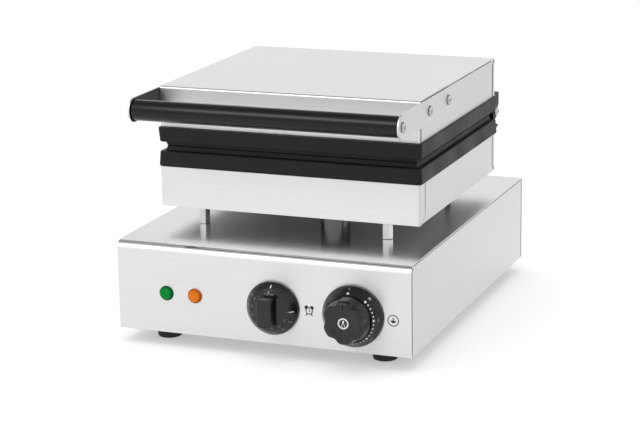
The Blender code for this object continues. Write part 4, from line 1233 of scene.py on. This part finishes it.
timerScale = named({
    "radius": 0.0226, "length": 0.0036, "longer": 0.0016, "width": 0.0009, "film": 0.00012, "step": -27.0,
    "count": 9, "numberRadius": 0.0176, "numberSize": 0.0030, "numberDepth": 0.00885, "numberSlope": 3,
})
thermostatScale = named({
    "radius": 0.0243, "topRadius": 0.0245, "dot": 0.0015, "bigDot": 0.0024, "film": 0.00012,
    "bigFilm": 0.00016, "numberRadius": 0.0274, "numberSize": 0.0034,
    # the number, where it stands in degrees, and its ink
    "numbers": (
        ("0", 92, fadedInk), ("50", 47, whiteInk), ("150", 2, fadedInk), ("250", -44, fadedInk),
        ("300", -89, fadedInk),
    ),
})


def scaleTree(name, rounded, ink):
    # Marks on a cone round the Y axis, at equal steps of turn
    tree, given = newTree(name, {
        "Count": 15, "Start Turn": 48.0, "Step Turn": -9.3, "Axis": (0, 0, 0), "Ring Radius": 0.0242,
        "Slope": 55.0, "Mark Length": 0.0016, "Mark Width": 0.0016, "Film": 0.0001,
    })
    index = addNode(tree, "GeometryNodeInputIndex").outputs["Index"]
    degrees = addNode(tree, "ShaderNodeMath", {
        0: given["Start Turn"],
        1: addNode(tree, "ShaderNodeMath", {
            0: given["Step Turn"], 1: index,
        }, operation="MULTIPLY").outputs[0],
    }, operation="ADD").outputs[0]
    turn = addNode(tree, "ShaderNodeMath", {0: degrees}, operation="RADIANS").outputs[0]
    tilt = addNode(tree, "ShaderNodeMath", {0: given["Slope"]}, operation="RADIANS").outputs[0]
    cosine = addNode(tree, "ShaderNodeMath", {0: turn}, operation="COSINE").outputs[0]
    sine = addNode(tree, "ShaderNodeMath", {0: turn}, operation="SINE").outputs[0]
    spoke = addNode(tree, "ShaderNodeVectorMath", {
        0: addNode(tree, "ShaderNodeCombineXYZ", {"X": cosine, "Z": sine}).outputs["Vector"],
        "Scale": given["Ring Radius"],
    }, operation="SCALE").outputs["Vector"]
    place = addNode(tree, "ShaderNodeVectorMath", {
        0: given["Axis"], 1: spoke,
    }, operation="ADD").outputs["Vector"]
    line = addNode(tree, "GeometryNodeMeshLine", {"Count": given["Count"]})
    ring = addNode(tree, "GeometryNodeSetPosition", {"Geometry": line.outputs["Mesh"], "Position": place})
    # The stroke runs down the slope, and the film's face looks outwards from the cone
    lean = addNode(tree, "ShaderNodeMath", {0: tilt}, operation="SINE").outputs[0]
    flat = addNode(tree, "ShaderNodeMath", {0: tilt}, operation="COSINE").outputs[0]
    along = addNode(tree, "ShaderNodeCombineXYZ", {
        "X": addNode(tree, "ShaderNodeMath", {0: cosine, 1: flat}, operation="MULTIPLY").outputs[0],
        "Y": lean,
        "Z": addNode(tree, "ShaderNodeMath", {0: sine, 1: flat}, operation="MULTIPLY").outputs[0],
    }).outputs["Vector"]
    outward = addNode(tree, "ShaderNodeCombineXYZ", {
        "X": addNode(tree, "ShaderNodeMath", {0: cosine, 1: lean}, operation="MULTIPLY").outputs[0],
        "Y": addNode(tree, "ShaderNodeMath", {0: flat, 1: -1.0}, operation="MULTIPLY").outputs[0],
        "Z": addNode(tree, "ShaderNodeMath", {0: sine, 1: lean}, operation="MULTIPLY").outputs[0],
    }).outputs["Vector"]
    axes = {"Primary Axis": outward, "Secondary Axis": along}
    faced = addNode(tree, "FunctionNodeAxesToRotation", axes, primary_axis="Z", secondary_axis="X")
    size = addNode(tree, "ShaderNodeCombineXYZ", {
        "X": given["Mark Length"], "Y": given["Mark Width"], "Z": given["Film"],
    }).outputs["Vector"]
    if rounded:
        mark = addNode(tree, "GeometryNodeMeshCylinder", {"Vertices": 20, "Radius": 0.5, "Depth": 1.0})
    else:
        mark = addNode(tree, "GeometryNodeMeshCube", {"Size": (1, 1, 1)})
    laid = addNode(tree, "GeometryNodeInstanceOnPoints", {
        "Points": ring.outputs["Geometry"], "Instance": mark.outputs["Mesh"],
        "Rotation": faced.outputs["Rotation"], "Scale": size,
    }).outputs["Instances"]
    return closeTree(tree, laid, ink)


def coneDepth(v, radius):
    # How far in front of the rear edge the skirt lies at this radius
    (farRadius, farDepth), (nearRadius, nearDepth) = v.skirt[4:6]
    return farDepth + (farRadius - radius) / (farRadius - nearRadius) * (nearDepth - farDepth)


def coneSlope(v):
    (farRadius, farDepth), (nearRadius, nearDepth) = v.skirt[4:6]
    return math.degrees(math.atan2(nearDepth - farDepth, farRadius - nearRadius))


def printedNumber(text, size, kind, radius, depth, degrees, slope, ink):
    # A number that stands on the cone, its foot towards the axis
    curve = bpy.data.curves.new("number", "FONT")
    curve.body = text
    curve.size = size
    curve.align_x = "CENTER"
    curve.align_y = "CENTER"
    curve.extrude = 0.00005
    curve.resolution_u = 3
    plain = settle(newObject("number", curve), None)
    x, z, rear = knobAxis(kind)
    turn, lean = math.radians(degrees), math.radians(slope)
    spoke = Vector((math.cos(turn), 0, math.sin(turn)))
    sideways = Vector((math.sin(turn), 0, -math.cos(turn)))
    upward = spoke * math.cos(lean) + Vector((0, math.sin(lean), 0))
    facing = sideways.cross(upward)
    place = Matrix((sideways, upward, facing)).transposed().to_4x4()
    centre = (x + radius * math.cos(turn), rear - depth, z + radius * math.sin(turn))
    plain.data.transform(Matrix.Translation(centre) @ place)
    plain.data.materials.clear()
    plain.data.materials.append(ink)
    return plain


def scaleOf(name, tree, kind, v, radius, turns, size, ink):
    # turns: count, first turn and step in degrees; size: length, width and film of a mark
    x, z, rear = knobAxis(kind)
    labels = ("Count", "Start Turn", "Step Turn", "Mark Length", "Mark Width", "Film")
    return growTree(name, tree, {
        **dict(zip(labels, turns + size)), "Axis": (x, rear - coneDepth(v, radius), z),
        "Ring Radius": radius, "Slope": coneSlope(v),
    }, ink)


def thermostatMarks(v):
    tree = scaleTree("scaleDots", True, whiteInk)
    marks = []
    for name, radius, turns, dot, film in (
        ("dots", v.radius, (15, 48.0, -9.3), v.dot, v.film),
        ("bigDots", v.radius, (3, 48.0, -46.5), v.bigDot, v.bigFilm),
        ("topDot", v.topRadius, (1, 92.0, 0.0), v.bigDot, v.bigFilm),
    ):
        size = (dot, dot, film)
        marks.append(scaleOf(name, tree, "thermostat", thermostatValues, radius, turns, size, whiteInk))
    depth, slope = coneDepth(thermostatValues, v.numberRadius), coneSlope(thermostatValues)
    for text, turn, ink in v.numbers:
        marks.append(printedNumber(text, v.numberSize, "thermostat", v.numberRadius, depth, turn, slope, ink))
    return joined("thermostatScale", marks)


def timerMarks(v):
    strokes = scaleTree("scaleStrokes", False, whiteInk)
    dimStrokes = scaleTree("dimScaleStrokes", False, fadedInk)
    marks = []
    for name, start, count, longer, tree, ink in (
        ("topStroke", 87.0, 1, 0.0, strokes, whiteInk), ("firstStroke", 0.0, 1, v.longer, strokes, whiteInk),
        ("strokes", v.step, v.count - 1, 0.0, dimStrokes, fadedInk),
    ):
        radius, turns = v.radius - longer / 2, (count, start, v.step)
        size = (v.length + longer, v.width, v.film)
        marks.append(scaleOf(name, tree, "timer", timerValues, radius, turns, size, ink))
    numbers = [(str(5 * i + 5), v.step * i, fadedInk) for i in range(v.count)]
    for text, turn, ink in (*numbers, ("0", 90, whiteInk)):
        marks.append(printedNumber(
            text, v.numberSize, "timer", v.numberRadius, v.numberDepth, turn, v.numberSlope, ink
        ))
    return joined("timerScale", marks)


dress(thermostatMarks(thermostatScale), "thermostat_dial", "black_phenolic")
dress(timerMarks(timerScale), "timer_dial", "black_phenolic")
print("Scales made")


# Printed signs: an alarm clock and a plain dial sign on the panel, a thermometer on the thermostat's face

signValues = named({
    "film": 0.00006, "clock": (0.0489, 0.0499), "dial": (0.1323, 0.0486), "faceDepth": 0.0250,
})


def flatSign(name, outlines, x, z, y, ink):
    # outlines: lists of millimetre points from the sign's middle, each a closed filled shape
    body = bmesh.new()
    for outline in outlines:
        points = [(x + across / 1000, z + up / 1000) for across, up in outline]
        prism(points, y - signValues.film, y + signValues.film, "y", body)
    return settle(meshObject(name, body, ink), None)


def ringSign(outer, inner, steps=40):
    # A ring as two facing halves, so that each outline stays simple
    half = steps // 2
    return [
        arc((0, 0), outer, start, start + 180, half) + arc((0, 0), inner, start + 180, start, half)
        for start in (0, 180)
    ]


def strokeSign(u0, v0, u1, v1, width):
    share = width / 2 / math.hypot(u1 - u0, v1 - v0)
    across, up = (v0 - v1) * share, (u1 - u0) * share
    return [(u0 + across, v0 + up), (u1 + across, v1 + up), (u1 - across, v1 - up), (u0 - across, v0 - up)]


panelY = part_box("base_shell")[0].y
clock = [
    *ringSign(3.7, 2.75), arc((-2.7, 3.1), 2.0, 30, 240, 12), arc((2.7, 3.1), 2.0, -60, 150, 12),
    strokeSign(-2.1, -2.9, -3.2, -4.7, 1.1), strokeSign(2.1, -2.9, 3.2, -4.7, 1.1),
    strokeSign(0, -0.3, 0, 1.9, 0.7), strokeSign(-0.2, 0.1, 1.5, -0.9, 0.7),
]
dress(flatSign("clockSign", clock, *signValues.clock, panelY, blackInk), "base", "brushed_stainless")
dial = [
    *ringSign(5.6, 4.7, 56), arc((0, 0.1), 2.5, 180, 360, 24), strokeSign(0, 0.0, 0, 2.4, 0.8),
    [(-0.9, 1.3), (0, 2.9), (0.9, 1.3)],
]
dress(flatSign("dialSign", dial, *signValues.dial, panelY, blackInk), "base", "brushed_stainless")
thermometer = [
    *ringSign(5.3, 3.9, 56), strokeSign(0, -3.9, 0, 2.2, 1.7), circle((0, -2.2), 1.7, 24),
    arc((0, 2.2), 0.85, 0, 180, 10),
]
x, z, rear = knobAxis("thermostat")
sign = flatSign("faceSign", thermometer, x, z, rear - signValues.faceDepth, whiteInk)
dress(sign, "thermostat_dial", "black_phenolic")
print("Signs made")


# Flexible conduit: a ribbed steel hose from base to lid, its ribs made along the path by Geometry Nodes

conduitValues = named({
    "radius": 0.0075, "ribDepth": 0.0010, "ribPitch": 0.0027, "sides": 28, "setback": 0.030, "clear": 0.0006,
    # each bend's shares of the setback and of the rise, and the share of the setback at the lid's end
    "bends": ((0.2, 0.5), (0.35, 0.75)), "lead": 0.9, "fittingRadius": 0.0105,
    # radius and distance from the wall
    "fitting": (
        (0.0056, 0.0), (0.0102, 0.0), (0.0105, 0.0003), (0.0105, 0.0038), (0.0100, 0.0045), (0.0086, 0.0048),
        (0.0083, 0.0055), (0.0083, 0.0096), (0.0079, 0.0102), (0.0074, 0.0105), (0.0056, 0.0105),
    ),
})


def smoothPath(knots, pieces):
    # Catmull-Rom through the knots
    points = []
    ends = [2 * knots[0] - knots[1], *knots, 2 * knots[-1] - knots[-2]]
    for a, b, c, d in zip(ends, ends[1:], ends[2:], ends[3:]):
        for i in range(pieces):
            t = i / pieces
            square = (2 * a - 5 * b + 4 * c - d) * t**2
            cube = (3 * b - a - 3 * c + d) * t**3
            points.append((2 * b + (c - a) * t + square + cube) / 2)
    points.append(knots[-1])
    return points


def conduitPath(v):
    foot, head = span("conduit_fitting_base")[2], span("conduit_fitting_lid")[2]
    clear, straight = v.fittingRadius + v.clear, 2 * v.radius
    low = Vector((foot.x, foot.y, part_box("base_shell")[1].z + clear))
    high = Vector((head.x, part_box("lid_cover")[1].y + clear, head.z))
    bends = [low + Vector((0, back * v.setback, up * (high.z - low.z))) for back, up in v.bends]
    lead = high + Vector((0, v.lead * v.setback, 0))
    knots = [low, low + Vector((0, 0, straight)), *bends, lead, high + Vector((0, straight, 0)), high]
    return smoothPath(knots, 10)


def hoseTree():
    tree, given = newTree("ribbedHose", {
        "Hose Radius": 0.0075, "Rib Pitch": 0.0027, "Rib Depth": 0.001, "Sides": 28,
    })
    line = addNode(tree, "GeometryNodeMeshToCurve", {"Mesh": given["Geometry"]})
    fine = addNode(tree, "GeometryNodeResampleCurve", {
        "Curve": line.outputs["Curve"],
        "Length": addNode(tree, "ShaderNodeMath", {
            0: given["Rib Pitch"], 1: 6.0,
        }, operation="DIVIDE").outputs[0],
    }, mode="LENGTH")
    way = addNode(tree, "GeometryNodeSplineParameter").outputs["Length"]
    phase = addNode(tree, "ShaderNodeMath", {
        0: addNode(tree, "ShaderNodeMath", {0: way, 1: given["Rib Pitch"]}, operation="DIVIDE").outputs[0],
        1: 2 * math.pi,
    }, operation="MULTIPLY").outputs[0]
    # The crest is rounder than the groove between two ribs
    level = addNode(tree, "ShaderNodeMath", {
        0: addNode(tree, "ShaderNodeMath", {
            0: addNode(tree, "ShaderNodeMath", {0: phase}, operation="COSINE").outputs[0], 1: 1.0,
        }, operation="ADD").outputs[0],
        1: 0.5,
    }, operation="MULTIPLY").outputs[0]
    wave = addNode(tree, "ShaderNodeMath", {0: level, 1: 1.6}, operation="POWER").outputs[0]
    radius = addNode(tree, "ShaderNodeMath", {
        0: given["Hose Radius"],
        1: addNode(tree, "ShaderNodeMath", {
            0: wave, 1: given["Rib Depth"],
        }, operation="MULTIPLY").outputs[0],
    }, operation="SUBTRACT").outputs[0]
    profile = addNode(tree, "GeometryNodeCurvePrimitiveCircle", {
        "Resolution": given["Sides"], "Radius": 1.0,
    }, mode="RADIUS")
    tube = addNode(tree, "GeometryNodeCurveToMesh", {
        "Curve": fine.outputs["Curve"], "Profile Curve": profile.outputs["Curve"], "Fill Caps": True,
        "Scale": radius,
    })
    return closeTree(tree, tube.outputs["Mesh"], barFinish)


path = conduitPath(conduitValues)
start = bpy.data.meshes.new("conduitPath")
start.from_pydata([tuple(point) for point in path], [(i, i + 1) for i in range(len(path) - 1)], [])
hose = growTree("flexibleHose", hoseTree(), {
    "Hose Radius": conduitValues.radius, "Rib Pitch": conduitValues.ribPitch,
    "Rib Depth": conduitValues.ribDepth, "Sides": conduitValues.sides,
}, barFinish, start, 180)
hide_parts("flexible_conduit")
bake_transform(hose)
for name, axis in (("base", "z"), ("lid", "y")):
    node = f"conduit_fitting_{name}"
    wall = getattr(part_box(node)[0], axis)
    profile = [(radius, wall + way) for radius, way in conduitValues.fitting]
    fitting = turned(camel(node), profile, centreOf(node, axis), axis, 56, zincFinish, 30)
    dress(fitting, name, "zinc_plated_steel", node)
print("Conduit made")


# Cord gland: a stepped nylon bushing

glandValues = named({
    # radius and distance: from the outer end inwards, then outwards from the panel's rear face
    "collar": (
        (0.0050, 0.0), (0.0078, 0.0), (0.0083, 0.0006), (0.0088, 0.0030), (0.0082, 0.0033), (0.0083, 0.0040),
        (0.0090, 0.0043),
    ),
    "flange": (
        (0.0096, 0.0046), (0.0108, 0.0040), (0.0110, 0.0034), (0.0110, 0.0007), (0.0107, 0.0003),
        (0.0077, 0.0003),
    ),
    "neck": 0.0077, "bore": 0.0050,
})


def cordGland(v):
    low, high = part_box("cord_gland")
    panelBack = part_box("base_shell")[1].y
    profile = [(radius, high.y - way) for radius, way in v.collar]
    profile += [(radius, panelBack + way) for radius, way in v.flange]
    profile += [(v.neck, low.y), (v.bore, low.y)]
    return turned("cordGland", profile, centreOf("cord_gland", "y"), "y", 56, nylonFinish, 30)


dress(cordGland(glandValues), "base", "dark_plastic", "cord_gland")
print("Gland made")


# Hinge bolts and nuts, then the bottom cover and its screws

hingeValues = named({
    "pin": 0.003, "head": 0.0045, "headHeight": 0.00387, "rim": 0.0005, "tip": 0.0004, "edge": 0.0003,
    "nut": 0.0102, "nutHeight": 0.0048, "thread": 0.002,
})
bottomEdge = 0.00025


def hingeBolt(side, sign, v):
    low, high, middle = span(f"hinge_bolt_{side}")
    outer, inner = (high.x, low.x) if sign > 0 else (low.x, high.x)
    seat, centre = outer - sign * v.headHeight, (middle.y, middle.z)
    profile = [(v.tip, outer)]
    for turn in (math.radians(degrees) for degrees in range(12, 84, 12)):
        profile.append((v.head * math.sin(turn), seat + sign * (v.headHeight * math.cos(turn) ** 0.9)))
    profile += [(v.head, seat + sign * v.rim), (v.head, seat), (v.pin, seat), (v.pin, inner)]
    bolt = settle(meshObject("bolt", lathe(profile, centre, "x", 40), zincFinish), 40)
    start, end = v.thread, v.thread + v.nutHeight
    nut = lathe([
        (width / math.sqrt(3), inner + sign * way) for way, width in (
            (start, v.nut - v.edge), (start + v.edge, v.nut), (end - v.edge, v.nut), (end, v.nut - v.edge),
        )
    ], centre, "x", 6)
    nut = settle(meshObject("nut", nut, zincFinish), 20)
    return joined(f"hingeBolt{side.title()}", [bolt, nut])


for side, sign in sides:
    dress(hingeBolt(side, sign, hingeValues), "base", "zinc_plated_steel", f"hinge_bolt_{side}")
cover = refined("bottomCover", "bottom_cover", galvanisedFinish, bottomEdge, 40)
dress(cover, "base", "galvanised_steel", "bottom_cover")
for name in corners:
    screw = refined(camel("foot", name, "screw"), f"foot_screw_{name}", zincFinish, bottomEdge, 25)
    dress(screw, "base", "zinc_plated_steel", f"foot_screw_{name}")
print("Hinge and bottom made")


# Camera, lights and floor

cameraValues = named({
    "azimuth": 21.73, "elevation": 14.66, "roll": -0.96, "distance": 2.068, "focal": 2020.4,
    "target": (-0.01159, 0.0085, 0.08783), "pictureWidth": 640, "sensor": 36, "near": 0.05, "far": 30,
})
studioValues = named({
    # Angle over the head, from the horizon in front (0) to the one behind (180), and brightness there
    "sky": ((0, 0.85), (12, 1.0), (64, 1.0), (84, 0.45), (136, 0.42), (151, 1.0), (180, 1.0)),
    "softbox": ((0, 0), (26, 0), (34, 2.9), (50, 2.9), (64, 0), (180, 0)),
    "softboxSide": (-0.56, -0.48, -0.2, -0.12),
    "rightBox": 1.0, "rightBoxStarts": {"X": (0.6, 0.7), "Y": (-0.02, 0.08), "Z": (0.16, 0.26)},
    "diffuse": 0.74, "paper": "dadada", "floorLift": 0.40, "floorRadius": 3.4, "floorDrop": 0.0002,
    "rightDim": 0.72, "dimStart": 0.15, "dimEnd": 0.6,
    # place, what it looks at, size and power
    "lamps": {
        "ceilingSoftbox": ((-0.25, -0.1, 2.4), (0, 0, 0), (2.6, 2.2), 20),
        "leftSoftbox": ((-2.2, -1.7, 1.5), (0, 0, 0.1), (1.6, 1.6), 14),
    },
})


def placeCamera(v):
    # The lens follows from the focal length in pixels
    azimuth, elevation, roll = (math.radians(angle) for angle in (v.azimuth, v.elevation, v.roll))
    level = math.cos(elevation)
    back = Vector((math.sin(azimuth) * level, -math.cos(azimuth) * level, math.sin(elevation)))
    right = (-back).cross(Vector((0, 0, 1))).normalized()
    up = right.cross(-back)
    across = right * math.cos(roll) + up * math.sin(roll)
    upright = up * math.cos(roll) - right * math.sin(roll)
    data = bpy.data.cameras.new("camera")
    camera = newObject("camera", data)
    turn = Matrix((across, upright, back)).transposed().to_4x4()
    camera.matrix_world = Matrix.Translation(Vector(v.target) + back * v.distance) @ turn
    data.sensor_width = v.sensor
    data.lens = v.focal / v.pictureWidth * v.sensor
    data.clip_start = v.near
    data.clip_end = v.far
    bpy.context.scene.camera = camera


def addArea(name, place, aim, size, power):
    data = bpy.data.lights.new(name, "AREA")
    data.shape = "RECTANGLE"
    data.size, data.size_y = size
    data.energy = power
    lamp = newObject(name, data)
    lamp.location = place
    lamp.rotation_mode = "QUATERNION"
    lamp.rotation_quaternion = (Vector(aim) - Vector(place)).to_track_quat("-Z", "Y")
    lamp.visible_glossy = False


def brightnessOver(tree, value, stops, reach=180):
    # Brightness along an angle, straight from stop to stop
    made = addNode(tree, "ShaderNodeValToRGB", {
        "Fac": addNode(tree, "ShaderNodeMath", {0: value, 1: reach}, operation="DIVIDE").outputs[0],
    })
    steps = made.color_ramp.elements
    while len(steps) < len(stops):
        steps.new(0.5)
    most = max(level for _, level in stops)
    for step, (place, level) in zip(steps, stops):
        step.position = place / reach
        step.color = (level / most, level / most, level / most, 1)
    return addNode(tree, "ShaderNodeMath", {
        0: made.outputs["Color"], 1: most,
    }, operation="MULTIPLY").outputs[0]


def buildSky(v):
    # The camera sees plain white. Shiny faces see a bright front and rear with a dim band overhead.
    world = bpy.data.worlds.new("studio")
    bpy.context.scene.world = world
    world.use_nodes = True
    tree = world.node_tree
    tree.nodes.clear()
    path = addNode(tree, "ShaderNodeLightPath").outputs
    parts = addNode(tree, "ShaderNodeSeparateXYZ", {
        "Vector": addNode(tree, "ShaderNodeTexCoord").outputs["Generated"],
    }).outputs
    turn = addNode(tree, "ShaderNodeMath", {
        0: parts["Z"],
        1: addNode(tree, "ShaderNodeMath", {0: parts["Y"], 1: -1.0}, operation="MULTIPLY").outputs[0],
    }, operation="ARCTAN2").outputs[0]
    above = addNode(tree, "ShaderNodeMath", {
        0: addNode(tree, "ShaderNodeMath", {0: turn, 1: 180 / math.pi}, operation="MULTIPLY").outputs[0],
        1: 0.0,
    }, operation="MAXIMUM").outputs[0]
    # A strong softbox stands to the front left only, for the highlights on bends and tubes
    left, leftFull, rightFull, right = v.softboxSide
    box = brightnessOver(tree, above, v.softbox)
    box = addNode(tree, "ShaderNodeMath", {
        0: box,
        1: addNode(tree, "ShaderNodeMapRange", {
            "Value": parts["X"], "From Min": left, "From Max": leftFull, "To Min": 0.0, "To Max": 1.0,
        }).outputs["Result"],
    }, operation="MULTIPLY").outputs[0]
    box = addNode(tree, "ShaderNodeMath", {
        0: box,
        1: addNode(tree, "ShaderNodeMapRange", {
            "Value": parts["X"], "From Min": rightFull, "From Max": right, "To Min": 1.0, "To Max": 0.0,
        }).outputs["Result"],
    }, operation="MULTIPLY").outputs[0]
    sky = addNode(tree, "ShaderNodeMath", {
        0: brightnessOver(tree, above, v.sky), 1: box,
    }, operation="ADD").outputs[0]
    # A second softbox high on the right, a little to the rear, puts a highlight on the screw heads
    box = v.rightBox
    for axis, (start, full) in v.rightBoxStarts.items():
        box = addNode(tree, "ShaderNodeMath", {
            0: box,
            1: addNode(tree, "ShaderNodeMapRange", {
                "Value": parts[axis], "From Min": start, "From Max": full, "To Min": 0.0, "To Max": 1.0,
            }).outputs["Result"],
        }, operation="MULTIPLY").outputs[0]
    sky = addNode(tree, "ShaderNodeMath", {0: sky, 1: box}, operation="ADD").outputs[0]
    glossy = addNode(tree, "ShaderNodeMix", {
        "Factor": path["Is Glossy Ray"], "A": v.diffuse, "B": sky,
    }, data_type="FLOAT").outputs["Result"]
    seen = addNode(tree, "ShaderNodeMath", {
        0: path["Is Camera Ray"], 1: path["Is Transmission Ray"],
    }, operation="MAXIMUM").outputs[0]
    strength = addNode(tree, "ShaderNodeMix", {
        "Factor": seen, "A": glossy, "B": 1.0,
    }, data_type="FLOAT").outputs["Result"]
    white = addNode(tree, "ShaderNodeBackground", {"Color": hexColour("ffffff"), "Strength": strength})
    addNode(tree, "ShaderNodeOutputWorld", {"Surface": white.outputs[0]})


def buildFloor(v):
    # White paper. To the right, in what shiny faces see, its colour is painted darker as painted shade.
    material, tree, shader = newMaterial("paperFloor", v.paper, 0.9, Specular_IOR_Level=0.0)
    path = addNode(tree, "ShaderNodeLightPath").outputs
    place = addNode(tree, "ShaderNodeSeparateXYZ", {
        "Vector": addNode(tree, "ShaderNodeTexCoord").outputs["Object"],
    }).outputs
    right = addNode(tree, "ShaderNodeMapRange", {
        "Value": place["X"], "From Min": v.dimStart, "From Max": v.dimEnd, "To Min": 1.0,
        "To Max": v.rightDim,
    }).outputs["Result"]
    dimmed = addNode(tree, "ShaderNodeMix", {
        "Factor": path["Is Glossy Ray"], "A": 1.0, "B": right,
    }, data_type="FLOAT").outputs["Result"]
    blend = addNode(tree, "ShaderNodeMix", {
        "Factor": dimmed, 6: hexColour("000000"), 7: hexColour(v.paper),
    }, data_type="RGBA").outputs[2]
    tree.links.new(blend, shader.inputs["Base Color"])
    seen = addNode(tree, "ShaderNodeMath", {
        0: path["Is Camera Ray"], 1: path["Is Glossy Ray"],
    }, operation="MAXIMUM").outputs[0]
    lift = addNode(tree, "ShaderNodeMath", {
        0: addNode(tree, "ShaderNodeMath", {0: seen, 1: v.floorLift}, operation="MULTIPLY").outputs[0],
        1: dimmed,
    }, operation="MULTIPLY").outputs[0]
    tree.links.new(lift, shader.inputs["Emission Strength"])
    shader.inputs["Emission Color"].default_value = hexColour("ffffff")
    sheet = bmesh.new()
    bmesh.ops.create_circle(sheet, cap_ends=True, radius=v.floorRadius, segments=96)
    floor = meshObject("floor", sheet, material)
    floor.location.z = -v.floorDrop


placeCamera(cameraValues)
buildSky(studioValues)
buildFloor(studioValues)
for name, lamp in studioValues.lamps.items():
    addArea(name, *lamp)
bpy.context.scene.view_settings.view_transform = "Standard"
print("Camera and studio made")
